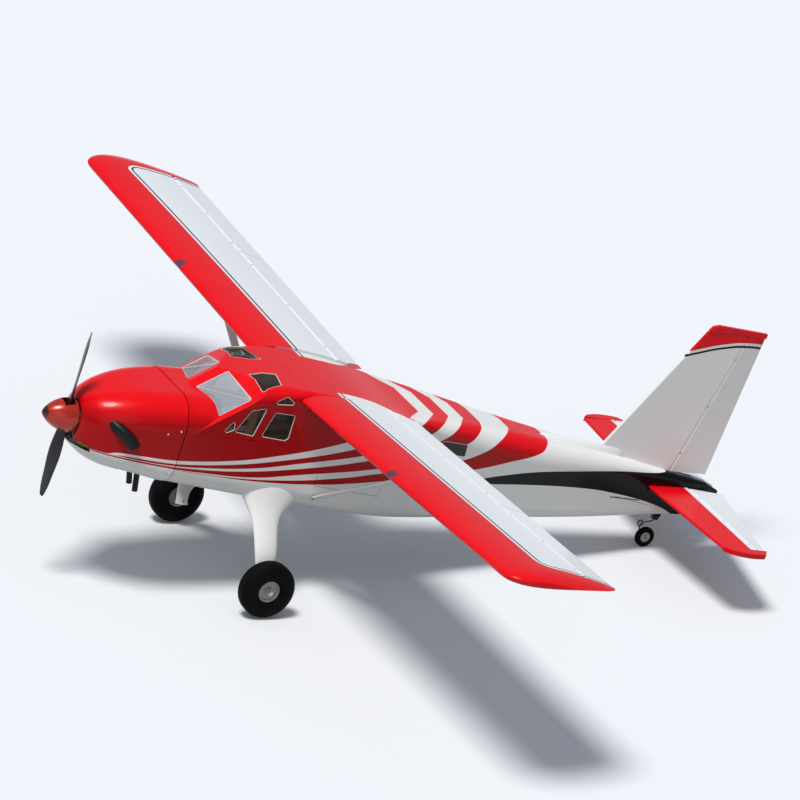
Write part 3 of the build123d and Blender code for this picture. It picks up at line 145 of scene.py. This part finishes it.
class Graph:
    """A material's node tree, with short calls for the nodes that the finishes use."""

    def __init__(self, name, **sockets):
        self.material = bpy.data.materials.new(name)
        self.material.use_nodes = True
        self.tree = self.material.node_tree
        self.shader = self.tree.nodes["Principled BSDF"]
        for socket, value in sockets.items():
            self.shader.inputs[socket.replace("_", " ")].default_value = value

    def put(self, socket, value):
        """Give an input its value, or link it to an output."""
        if isinstance(value, bpy.types.NodeSocket):
            self.tree.links.new(value, socket)
        elif isinstance(value, (tuple, list, Vector)) and socket.type == "RGBA":
            socket.default_value = (*value[:3], 1.0)
        else:
            socket.default_value = value

    def math(self, operation, first, second=0.0, clamp=False):
        """A sum of one or two values."""
        node = self.tree.nodes.new("ShaderNodeMath")
        node.operation = operation
        node.use_clamp = clamp
        self.put(node.inputs[0], first)
        self.put(node.inputs[1], second)
        return node.outputs[0]

    def vector(self, operation, first, second):
        """A sum of two vectors."""
        node = self.tree.nodes.new("ShaderNodeVectorMath")
        node.operation = operation
        self.put(node.inputs[0], first)
        self.put(node.inputs[1], second)
        return node.outputs["Value" if operation == "DOT_PRODUCT" else "Vector"]

    def mix(self, factor, first, second):
        """The first colour where the factor is 0, the second where it is 1."""
        node = self.tree.nodes.new("ShaderNodeMix")
        node.data_type = "RGBA"
        colours = [socket for socket in node.inputs if socket.type == "RGBA"]
        self.put(node.inputs[0], factor)
        self.put(colours[0], first)
        self.put(colours[1], second)
        return next(socket for socket in node.outputs if socket.type == "RGBA")

    def noise(self, scale, detail=3.0, vector=None):
        """Soft random patches, scale of them to the metre."""
        node = self.tree.nodes.new("ShaderNodeTexNoise")
        node.inputs["Scale"].default_value = scale
        node.inputs["Detail"].default_value = detail
        self.put(node.inputs["Vector"], vector or self.place())
        return node.outputs["Fac"]

    def place(self):
        """The point on the piece: a piece's own coordinates are the world's at rest."""
        if not hasattr(self, "coordinates"):
            node = self.tree.nodes.new("ShaderNodeTexCoord")
            self.coordinates = node.outputs["Object"]
        return self.coordinates

    def datum(self):
        """x, distance from the plane of symmetry and z, in datum millimetres."""
        if not hasattr(self, "axes"):
            point = self.vector("SUBTRACT", self.place(), ORIGIN)
            x = self.vector("DOT_PRODUCT", point, AFT / MM)
            y = self.vector("DOT_PRODUCT", point, Vector((0.0, 1.0, 0.0)) / MM)
            z = self.vector("DOT_PRODUCT", point, UP / MM)
            self.axes = (x, self.math("ABSOLUTE", y), z)
            self.across = y
        return self.axes

    def side(self):
        """Datum y with its sign: starboard above 0."""
        self.datum()
        return self.across

    def step(self, value, edge, soft=SOFT_EDGE):
        """0 below the edge and 1 above it, over a soft width."""
        rise = self.math("DIVIDE", self.math("SUBTRACT", value, edge), soft)
        return self.math("ADD", rise, 0.5, clamp=True)

    def between(self, value, low, high):
        """1 from the low edge to the high one."""
        return self.math("MULTIPLY", self.step(value, low), self.step(high, value))

    def both(self, *masks):
        """The overlap of the masks."""
        total = masks[0]
        for mask in masks[1:]:
            total = self.math("MULTIPLY", total, mask)
        return total

    def either(self, *masks):
        """All that any of the masks covers."""
        total = masks[0]
        for mask in masks[1:]:
            total = self.math("MAXIMUM", total, mask)
        return total

    def stroke(self, along, up, start, end, width):
        """A straight painted line between two points of the side view."""
        way = Vector(end) - Vector(start)
        reach = way.length
        way.normalize()
        ahead = self.math("SUBTRACT", along, start[0])
        over = self.math("SUBTRACT", up, start[1])
        run = self.math("ADD", self.math("MULTIPLY", ahead, way.x),
                        self.math("MULTIPLY", over, way.y))
        off = self.math("SUBTRACT", self.math("MULTIPLY", over, way.x),
                        self.math("MULTIPLY", ahead, way.y))
        return self.both(self.between(run, 0.0, reach),
                         self.step(width / 2, self.math("ABSOLUTE", off), SOFT_STROKE))

    def curve(self, value, points):
        """A smooth line through the points, read at the value. It is level past its ends."""
        (start, _), (end, _) = points[0], points[-1]
        low = min(height for _, height in points)
        high = max(height for _, height in points)
        node = self.tree.nodes.new("ShaderNodeFloatCurve")
        line = node.mapping.curves[0]
        while len(line.points) < len(points):
            line.points.new(0.5, 0.5)
        for handle, (along, height) in zip(line.points, points):
            handle.location = ((along - start) / (end - start), (height - low) / (high - low))
        node.mapping.update()
        share = self.math("DIVIDE", self.math("SUBTRACT", value, start), end - start, clamp=True)
        self.put(node.inputs["Value"], share)
        return self.math("ADD", self.math("MULTIPLY", node.outputs[0], high - low), low)

    def bump(self, height, strength, distance):
        """Relief from a height, whose full depth is the distance in metres."""
        node = self.tree.nodes.new("ShaderNodeBump")
        node.inputs["Strength"].default_value = strength
        node.inputs["Distance"].default_value = distance
        self.put(node.inputs["Height"], height)
        self.put(self.shader.inputs["Normal"], node.outputs[0])

    def roughness(self, middle, spread, scale):
        """Roughness that wanders round its middle, as handling leaves it."""
        wander = self.math("MULTIPLY", self.math("SUBTRACT", self.noise(scale), 0.5), 2 * spread)
        self.put(self.shader.inputs["Roughness"], self.math("ADD", wander, middle, clamp=True))

    def colour(self, value):
        """Paint the surface."""
        self.put(self.shader.inputs["Base Color"], value)


# ---- film, paint and livery ----------------------------------------------------------------

RED = (0.82, 0.004, 0.010)
DEEP_RED = (0.74, 0.002, 0.006)
# The third red is painted shade: the body's steep flanks get it, darker than the top, in place of
# the light that reaches them less.
FLANK_SHADE_RED = (0.42, 0.0012, 0.0025)
WHITE = (0.84, 0.835, 0.82)
COOL_WHITE = (0.80, 0.83, 0.86)
BLACK = (0.002, 0.002, 0.0025)
DUST = (0.60, 0.58, 0.54)

# The borders of the red and white side stripes, from the topmost down: each runs aft from the
# nose, climbs the side and crosses the deck where it meets it. Red lies above the first, and
# between the second and third, the fourth and fifth, and the sixth and seventh.
STRIPES = [
    [(60, -41), (118, -38.5), (140, -31), (180, -27), (258, -23), (378, -10), (486, 14),
     (591, 46), (690, 88), (754, 126), (806, 168), (830, 190)],
    [(60, -41.5), (122, -38.5), (160, -34), (260, -30), (381, -18), (490, 3), (623, 38),
     (720, 76), (786, 112), (845, 164), (870, 190)],
    [(60, -42), (150, -37), (227, -36), (317, -32), (428, -21), (537, 2), (673, 35),
     (770, 70), (819, 96), (886, 160), (912, 190)],
    [(60, -42.5), (158, -38), (263, -37), (386, -32), (541, -9), (686, 25), (790, 60),
     (861, 90), (926, 156), (955, 190)],
    [(60, -43), (215, -41), (321, -42.5), (435, -40), (545, -22), (713, 10), (830, 44),
     (922, 80), (946, 100), (970, 150), (985, 190)],
    [(60, -43.5), (225, -41.5), (379, -45.5), (504, -39), (638, -19), (721, 0), (840, 24),
     (920, 42), (955, 55), (999, 82), (1049, 140), (1080, 190)],
    [(60, -44), (235, -42), (329, -46), (461, -47), (598, -38), (665, -28), (790, -5),
     (956, 22), (1050, 46), (1120, 67), (1136, 85), (1151, 128), (1165, 190)],
]
# Half the width of the body along x, which says how far in from its side a point of the deck is.
HALF_WIDTHS = [(60, 60), (262, 121), (640, 121), (754, 120), (925, 97), (1105, 72.5),
               (1316, 43), (1480, 24)]
ROLL_OVER = 58.0            # how far in from the side a stripe still sweeps aft on the deck
ROLL_ROUND = 13.0           # how gently it turns over the corner
ROLL_FOOT, ROLL_SOFT = 45.0, 30.0   # the height where the side starts to turn over
SWOOSH_START = 925.0
SWOOSH_TOP = [(SWOOSH_START, -11), (988, 4), (1042, 14), (1130, 26), (1224, 32), (1337, 37),
              (1463, 39), (1482, 60)]
SWOOSH_FOOT = [(SWOOSH_START, -11.5), (1009, -8), (1095, -5), (1196, -4), (1282, -7),
               (1329, -12), (1386, -20), (1444, -31), (1483, -42), (1512, -56)]
SIDE_MARKS = [              # seams and slits on the sides: from, to, width
    ((584, -42), (736, -49), 0.7), ((736, -49), (739, -28), 0.7), ((584, -42), (586, -20), 0.7),
    ((1333, -22), (1412, -26), 2.2), ((1345, -20), (1440, -36), 0.8),
]
# Where the white upper panel of the wing starts, from the port tip to the starboard one.
PANEL_FRONT = [(-1000, 589), (0, 587), (1000, 566)]
PANEL_TIP = 984.0
PANEL_CORNER = 34.0         # radius of the panel's outer corner
PANEL_BORDER = 6.5          # white left outside the pinstripe
PINSTRIPE = 4.4
# The panel's inner edge, as the distance from the middle at each x
PANEL_ROOT = [(560, 92), (660, 91), (700, 104), (742, 136), (760, 140)]
UNDER_RED = 545.0           # end of the red leading edge under the wing
FLANK_SHADE_TILT = 0.45           # share of upward slope below which the body red takes the darker red of the painted flank shade
DECK_FOOT, DECK_SOFT = 108.0, 6.0   # the wing's film laps over the deck's edge above this height
LAP_END = 762.0
# how softly the painted flank shade fades in
FLANK_SHADE_SOFT = 0.5
UNDER_SOFT = 0.1            # how sharply the wing's colours change from top to underside
FILM_ROUGHNESS = 0.24
DUSTING = 0.10              # share of dust in the white


def film(name):
    """A gloss covering with a thin clear coat, faintly rippled over its frames."""
    graph = Graph(name, IOR=1.22, Coat_Weight=0.10, Coat_Roughness=0.04)
    graph.roughness(FILM_ROUGHNESS, 0.05, 22.0)
    graph.bump(graph.noise(9.0, 2.0), 0.06, 0.004)
    return graph


def shaded(graph, red_mask, black_mask=None, white=WHITE, painted_flank_shade=False):
    """Mix the covering's colours, each with the slight unevenness of its pigment. If asked, the
    red is also darkened on steep surfaces, as painted shade for the less lit flanks.
    """
    mottle = graph.noise(14.0, 4.0)
    red = graph.mix(mottle, DEEP_RED, RED)
    if painted_flank_shade:
        # Painted shade: steep surfaces get the darker flank red, as if less light fell on them.
        normal = graph.tree.nodes.new("ShaderNodeNewGeometry").outputs["Normal"]
        flank_shade = graph.step(FLANK_SHADE_TILT, graph.vector("DOT_PRODUCT", normal, UP), FLANK_SHADE_SOFT)
        red = graph.mix(flank_shade, red, FLANK_SHADE_RED)
    pale = graph.mix(graph.math("MULTIPLY", mottle, DUSTING), white, DUST)
    blend = graph.mix(red_mask, pale, red)
    if black_mask is not None:
        blend = graph.mix(black_mask, blend, BLACK)
    graph.colour(blend)


def panel_masks(graph):
    """The white panel on top of the wing: the masks of its inside and of its pinstripe."""
    x, y, _ = graph.datum()
    depth_front = graph.math("SUBTRACT", x, graph.curve(graph.side(), PANEL_FRONT))
    depth_tip = graph.math("SUBTRACT", PANEL_TIP, y)
    short_front = graph.math("MAXIMUM", graph.math("SUBTRACT", PANEL_CORNER, depth_front), 0.0)
    short_tip = graph.math("MAXIMUM", graph.math("SUBTRACT", PANEL_CORNER, depth_tip), 0.0)
    squares = graph.math("ADD", graph.math("POWER", short_front, 2.0),
                         graph.math("POWER", short_tip, 2.0))
    depth = graph.math("SUBTRACT", PANEL_CORNER, graph.math("SQRT", squares))
    root = graph.step(y, graph.curve(x, PANEL_ROOT))
    inside = graph.both(graph.step(depth, 0.0), root)
    line = graph.both(graph.between(depth, PANEL_BORDER, PANEL_BORDER + PINSTRIPE), root)
    return inside, line


def body_livery():
    """Fuselage, hatch and cowl: red above, white below, stripes, chevrons and a black swoosh, with
    painted shade that darkens the red on the steep flanks.
    """
    graph = film("body_livery")
    x, y, z = graph.datum()
    inboard = graph.math("SUBTRACT", graph.curve(x, HALF_WIDTHS), y)
    inboard = graph.math("MINIMUM", graph.math("MAXIMUM", inboard, 0.0), ROLL_OVER)
    squares = graph.math("ADD", graph.math("POWER", inboard, 2.0), ROLL_ROUND ** 2)
    inboard = graph.math("SUBTRACT", graph.math("SQRT", squares), ROLL_ROUND)
    height = graph.math("ADD", z, graph.both(inboard, graph.step(z, ROLL_FOOT, ROLL_SOFT)))
    above = [graph.step(height, graph.curve(x, border)) for border in STRIPES]
    red = above[0]
    for lower, upper in zip(above[2::2], above[1::2]):
        red = graph.math("ADD", red, graph.math("SUBTRACT", lower, upper), clamp=True)
    inside, line = panel_masks(graph)
    on_wing = graph.both(graph.step(z, DECK_FOOT, DECK_SOFT), graph.step(LAP_END, x))
    lap = graph.both(inside, on_wing)
    red = graph.both(red, graph.math("SUBTRACT", 1.0, lap))
    swoosh = graph.both(
        graph.step(graph.curve(x, SWOOSH_TOP), z),
        graph.step(z, graph.curve(x, SWOOSH_FOOT)),
        graph.step(x, SWOOSH_START),
    )
    marks = [graph.stroke(x, z, start, end, width) for start, end, width in SIDE_MARKS]
    # The flanks' darker red here is painted shade.
    shaded(graph, red, graph.either(swoosh, graph.both(line, on_wing), *marks), painted_flank_shade=True)
    return graph.material


def wing_livery():
    """Wing, ailerons and flaps: a red leading edge and tip round a pinstriped white panel."""
    graph = film("wing_livery")
    x, y, _ = graph.datum()
    inside, line = panel_masks(graph)
    normal = graph.tree.nodes.new("ShaderNodeNewGeometry").outputs["Normal"]
    faces_up = graph.step(graph.vector("DOT_PRODUCT", normal, UP), 0.0, UNDER_SOFT)
    upper_red = graph.math("SUBTRACT", 1.0, inside)
    lower_red = graph.either(graph.step(UNDER_RED, x), graph.step(y, PANEL_TIP))
    red = graph.math("ADD", graph.both(upper_red, faces_up),
                     graph.both(lower_red, graph.math("SUBTRACT", 1.0, faces_up)))
    shaded(graph, red, graph.both(line, faces_up), COOL_WHITE)
    return graph.material


FIN_STRIPE = [(1400, 284), (1450, 303), (1510, 322), (1560, 331), (1612, 330)]
FIN_BLACK = 5.0             # height of the black stripe
FIN_RED_FOOT = 11.0         # where the red starts above the stripe's lower edge


def fin_livery():
    """White, with a red top above a white and a black stripe that climb aft."""
    graph = film("fin_livery")
    x, _, z = graph.datum()
    height = graph.math("SUBTRACT", z, graph.curve(x, FIN_STRIPE))
    shaded(graph, graph.step(height, FIN_RED_FOOT), graph.between(height, 0.0, FIN_BLACK))
    return graph.material


STAB_RED_END = 1517.0
STAB_HORN_Y = 319.5         # where the horn balances begin


def stab_livery():
    """A red leading edge and tip, and a white strip along the hinge."""
    graph = film("stab_livery")
    x, y, _ = graph.datum()
    red = graph.either(graph.step(STAB_RED_END, x), graph.step(y, STAB_HORN_Y))
    shaded(graph, red, None, COOL_WHITE)
    return graph.material


def plain_film(name, colour, second):
    """A covering of one colour, with soft patches of a second."""
    graph = film(name)
    mottle = graph.math("MULTIPLY", graph.noise(18.0, 4.0), 0.4)
    graph.colour(graph.mix(mottle, colour, second))
    return graph.material


# ---- other finishes ------------------------------------------------------------------------

GRAIN_DEPTH = 0.0004        # in metres, as the bump node wants it
SPINNER_TIP_X = 9.0
LEG_DUST_Z, LEG_DUST_SOFT = -190.0, 60.0


def moulded(name, colour, second, rough, grain=900.0, metal=0.0, bump=0.12, coat=0.0,
            ior=1.3):
    """A moulded, cast or turned surface: two close tones, grain and uneven gloss."""
    graph = Graph(name, Metallic=metal, Coat_Weight=coat, IOR=ior)
    graph.colour(graph.mix(graph.noise(60.0, 5.0), colour, second))
    graph.roughness(rough, 0.08, 80.0)
    graph.bump(graph.noise(grain, 2.0), bump, GRAIN_DEPTH)
    return graph.material


def plywood():
    """Birch ply: long grain with darker streaks."""
    graph = Graph("plywood", Roughness=0.6)
    stretch = graph.tree.nodes.new("ShaderNodeMapping")
    stretch.inputs["Scale"].default_value = (6.0, 90.0, 90.0)
    graph.put(stretch.inputs["Vector"], graph.place())
    grain = graph.noise(3.0, 6.0, stretch.outputs[0])
    graph.colour(graph.mix(grain, (0.34, 0.21, 0.10), (0.58, 0.42, 0.25)))
    graph.bump(grain, 0.2, GRAIN_DEPTH)
    return graph.material


def glazing(name, tint, alpha, rough=0.04, ior=1.5, coat=1.0):
    """Thin clear sheet: a faint veil of its tint, and its gloss."""
    graph = Graph(name, Alpha=alpha, IOR=ior, Coat_Weight=coat, Coat_Roughness=0.02)
    graph.roughness(rough, 0.02, 30.0)
    graph.colour(graph.mix(graph.noise(8.0, 2.0), tint, tuple(0.85 * part for part in tint)))
    graph.material.surface_render_method = "BLENDED"
    return graph.material


def spinner_paint():
    """Orange red metallic paint with a dark tip."""
    graph = Graph("spinner_paint", Metallic=0.25, Coat_Weight=0.22, Coat_Roughness=0.08)
    x, _, _ = graph.datum()
    flake = graph.noise(2500.0, 1.0)
    paint = graph.mix(flake, (0.40, 0.014, 0.004), (0.54, 0.030, 0.008))
    graph.colour(graph.mix(graph.step(SPINNER_TIP_X, x, 1.5), paint, (0.05, 0.012, 0.012)))
    graph.roughness(0.26, 0.06, 50.0)
    return graph.material


def gear_paint():
    """White leg fairing with a trace of dust near the foot."""
    graph = film("gear_paint")
    _, _, z = graph.datum()
    low = graph.math("SUBTRACT", 1.0, graph.step(z, LEG_DUST_Z, LEG_DUST_SOFT))
    dirt = graph.math("MULTIPLY", graph.both(low, graph.noise(40.0, 5.0)), 0.5)
    graph.colour(graph.mix(dirt, WHITE, DUST))
    return graph.material


def make_finishes():
    """Every material of the model by name."""
    dark, darker = (0.009, 0.009, 0.010), (0.004, 0.004, 0.0045)
    return {
        "body": body_livery(),
        "wing": wing_livery(),
        "fin": fin_livery(),
        "stab": stab_livery(),
        "white": plain_film("white_cover", WHITE, (0.78, 0.78, 0.76)),
        "gear": gear_paint(),
        # The pale beads round the panes are partly their cut edge and partly a painted highlight
        # along it.
        "rim": plain_film("pane_edge_and_highlight", (0.80, 0.74, 0.70), (0.60, 0.50, 0.46)),
        "ply": plywood(),
        "clear": glazing("clear_sheet", (0.72, 0.80, 0.88), 0.30),
        "tinted": glazing("tinted_sheet", (0.05, 0.035, 0.02), 0.34, ior=1.3, coat=0.4),
        "smoked": glazing("smoked_sheet", (0.016, 0.013, 0.009), 0.94, ior=1.3, coat=0.2),
        "lens": glazing("lens", (0.16, 0.03, 0.06), 0.92, ior=1.4, coat=0.6),
        "spinner": spinner_paint(),
        "blade": moulded("blade", dark, (0.03, 0.03, 0.034), 0.34, coat=0.2),
        "black": moulded("black_moulding", dark, darker, 0.42),
        "rubber": moulded("black_rubber", dark, darker, 0.55, 500.0),
        "tyre": moulded("tyre_rubber", (0.004, 0.004, 0.004), (0.002, 0.002, 0.002), 0.66,
                        420.0, bump=0.25, ior=1.16),
        "hub": moulded("hub_moulding", (0.52, 0.52, 0.50), (0.38, 0.38, 0.37), 0.38),
        "steel": moulded("steel", (0.55, 0.55, 0.56), (0.42, 0.42, 0.43), 0.3, metal=1.0),
        "dark_steel": moulded("dark_steel", (0.10, 0.10, 0.11), (0.06, 0.06, 0.06), 0.36,
                              metal=0.9),
        "cast": moulded("cast_aluminium", (0.52, 0.52, 0.53), (0.40, 0.40, 0.41), 0.5, 700.0,
                        1.0, 0.4),
        "tank": moulded("tank_moulding", (0.74, 0.73, 0.64), (0.68, 0.66, 0.56), 0.35),
        "fuel": moulded("fuel_tube", (0.50, 0.56, 0.05), (0.42, 0.50, 0.03), 0.3, coat=0.4),
        "joiner": moulded("joiner_tube", (0.28, 0.28, 0.29), (0.20, 0.20, 0.21), 0.3,
                          metal=0.9),
    }


# The finish of each CAD node
FINISH_OF = {
    "body": ["fuselage_shell", "cabin_hatch", "cowl"],
    "wing": ["wing_port", "wing_starboard", "aileron_port", "aileron_starboard", "flap_port",
             "flap_starboard"],
    "fin": ["fin", "rudder"],
    "stab": ["stabiliser", "elevators"],
    "white": ["wing_struts", "aileron_horn_port", "aileron_horn_starboard", "hinges"],
    "gear": ["gear_leg_port", "gear_leg_starboard"],
    "ply": ["firewall", "fuselage_formers", "radio_tray"],
    "clear": ["windshield_panes"],
    "tinted": ["cabin_windows"],
    "smoked": ["rear_windows"],
    "lens": ["landing_lights"],
    "spinner": ["spinner_cone", "spinner_backplate"],
    "blade": ["propeller"],
    "black": ["exhaust_stacks", "aileron_servos", "tail_servos", "strut_brackets",
              "tail_bracket", "aileron_arm_port", "aileron_arm_starboard", "spark_plug"],
    "rubber": ["exhaust_tubes"],
    "tyre": ["tyre_port", "tyre_starboard", "tail_tyre"],
    "hub": ["wheel_hub_port", "wheel_hub_starboard", "tail_hub"],
    "steel": ["screws", "crankshaft", "prop_nut", "wheel_axles", "carburettor",
              "aileron_pushrod_port", "aileron_pushrod_starboard", "elevator_joiner"],
    "dark_steel": ["tail_spring", "muffler"],
    "cast": ["crankcase", "cylinder", "engine_mount"],
    "tank": ["fuel_tank"],
    "fuel": ["fuel_line"],
    "joiner": ["wing_joiner"],
}


def dress_nodes(finishes):
    """Give each CAD node its finish."""
    for finish, names in FINISH_OF.items():
        for name in names:
            for socket in frame["nodes"][name].material_slots:
                socket.material = finishes[finish]


FLOOR_SIZE = 60.0
FLOOR_TINT = (0.80, 0.82, 0.85)
FLOOR_BOUNCE = (0.34, 0.35, 0.34)   # what it throws back on to the model
FLOOR_PATCH = 0.98          # how bright its darkest patches are against the rest


def make_floor():
    """A plain pale floor that the wheels stand on."""
    mesh = bpy.data.meshes.new("floor")
    form = bmesh.new()
    bmesh.ops.create_grid(form, x_segments=1, y_segments=1, size=FLOOR_SIZE)
    form.to_mesh(mesh)
    form.free()
    floor = bpy.data.objects.new("floor", mesh)
    bpy.context.scene.collection.objects.link(floor)
    graph = Graph("floor_paint", Roughness=0.9)
    patch = tuple(FLOOR_PATCH * part for part in FLOOR_TINT)
    paint = graph.mix(graph.noise(1.5, 2.0), FLOOR_TINT, patch)
    ray = graph.tree.nodes.new("ShaderNodeLightPath").outputs
    seen = graph.either(ray["Is Camera Ray"], ray["Is Glossy Ray"], ray["Is Transmission Ray"])
    graph.colour(graph.mix(seen, FLOOR_BOUNCE, paint))
    mesh.materials.append(graph.material)
    floor.location.z = cad_box[0][2]


# ---- modelled pieces -----------------------------------------------------------------------

def add_piece(name, data, material, body):
    """Put a new mesh or curve in the scene, finished and riding on its body."""
    piece = bpy.data.objects.new(name, data)
    bpy.context.scene.collection.objects.link(piece)
    data.materials.append(material)
    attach(piece, body)
    return piece


RIM_ANGLE = 0.9             # radians between faces that meet at the edge of a pane
RIM_RADIUS = 0.8 * MM
SAME_POINT = 0.01 * MM
BODY_OF_PANES = {"windshield_panes": "hatch", "cabin_windows": "hatch", "rear_windows": "airframe"}


def rim_loops(node):
    """The closed edges of the sheets in a node, as lists of points."""
    form = bmesh.new()
    form.from_mesh(frame["nodes"][node].data)
    bmesh.ops.remove_doubles(form, verts=form.verts, dist=SAME_POINT)
    sharp = {edge for edge in form.edges
             if len(edge.link_faces) == 2 and edge.calc_face_angle() > RIM_ANGLE}
    loops = []
    while sharp:
        edge = min(sharp, key=lambda one: one.index)
        sharp.discard(edge)
        start, here = edge.verts
        points = [start.co.copy()]
        while here is not start:
            points.append(here.co.copy())
            ways = sorted((e for e in here.link_edges if e in sharp), key=lambda one: one.index)
            if not ways:
                break
            sharp.discard(ways[0])
            here = ways[0].other_vert(here)
        if len(points) > 3:
            loops.append(points)
    form.free()
    return loops


def rim_trim(node, name, material, body):
    """The pale cut edge of the clear sheets, as thin beads round them, with the highlight that
    runs along the edges painted into their colour too.
    """
    line = bpy.data.curves.new(name, "CURVE")
    line.dimensions = "3D"
    line.bevel_depth = RIM_RADIUS
    line.bevel_resolution = 1
    for points in rim_loops(node):
        spline = line.splines.new("POLY")
        spline.points.add(len(points) - 1)
        for handle, point in zip(spline.points, points):
            handle.co = (*point, 1.0)
        spline.use_cyclic_u = True
    add_piece(name, line, material, body)


# Stations of the raised spine: x, half width, top z, foot z inside the body.
SPINE = [
    (1140, 4.0, 83.0, 74.0), (1150, 9.0, 87.0, 72.0), (1165, 13.0, 87.5, 70.0),
    (1200, 15.0, 85.0, 65.0), (1240, 14.0, 82.0, 58.0), (1280, 11.0, 79.5, 52.0),
    (1320, 8.0, 79.0, 48.0), (1360, 6.0, 80.0, 44.0),
]
SPINE_SIDES = 12
SPINE_FLARE = 0.8           # how much wider its foot is than its back


def spine_fillet(material):
    """A rounded ridge that carries the deck up to the root of the fin."""
    form = bmesh.new()
    rings = []
    for x, half_width, top, foot in SPINE:
        ring = []
        for step in range(SPINE_SIDES + 1):
            turn = radians(180.0 * step / SPINE_SIDES)
            y = -half_width * cos(turn) * (1.0 + SPINE_FLARE * (1.0 - sin(turn)))
            ring.append(form.verts.new(world(x, y, foot + (top - foot) * sin(turn))))
        rings.append(ring)
    for ring, after in zip(rings, rings[1:]):
        for step in range(SPINE_SIDES):
            form.faces.new((ring[step], after[step], after[step + 1], ring[step + 1]))
        form.faces.new((ring[-1], after[-1], after[0], ring[0]))
    form.faces.new(rings[0][::-1])
    form.faces.new(rings[-1])
    bmesh.ops.recalc_face_normals(form, faces=form.faces)
    for face in form.faces:
        face.smooth = True
    mesh = bpy.data.meshes.new("spine_fillet")
    form.to_mesh(mesh)
    form.free()
    piece = add_piece("spine_fillet", mesh, material, "airframe")
    smooth = piece.modifiers.new("smooth", "SUBSURF")
    smooth.levels = smooth.render_levels = 1


make_camera()
make_lights()
make_floor()
finishes = make_finishes()
dress_nodes(finishes)
# Pale beads round the panes: their cut edge, with a painted highlight along it.
for node, body in BODY_OF_PANES.items():
    rim_trim(node, f"{node}_trim", finishes["rim"], body)
spine_fillet(finishes["white"])

bpy.context.scene.view_settings.view_transform = "Standard"
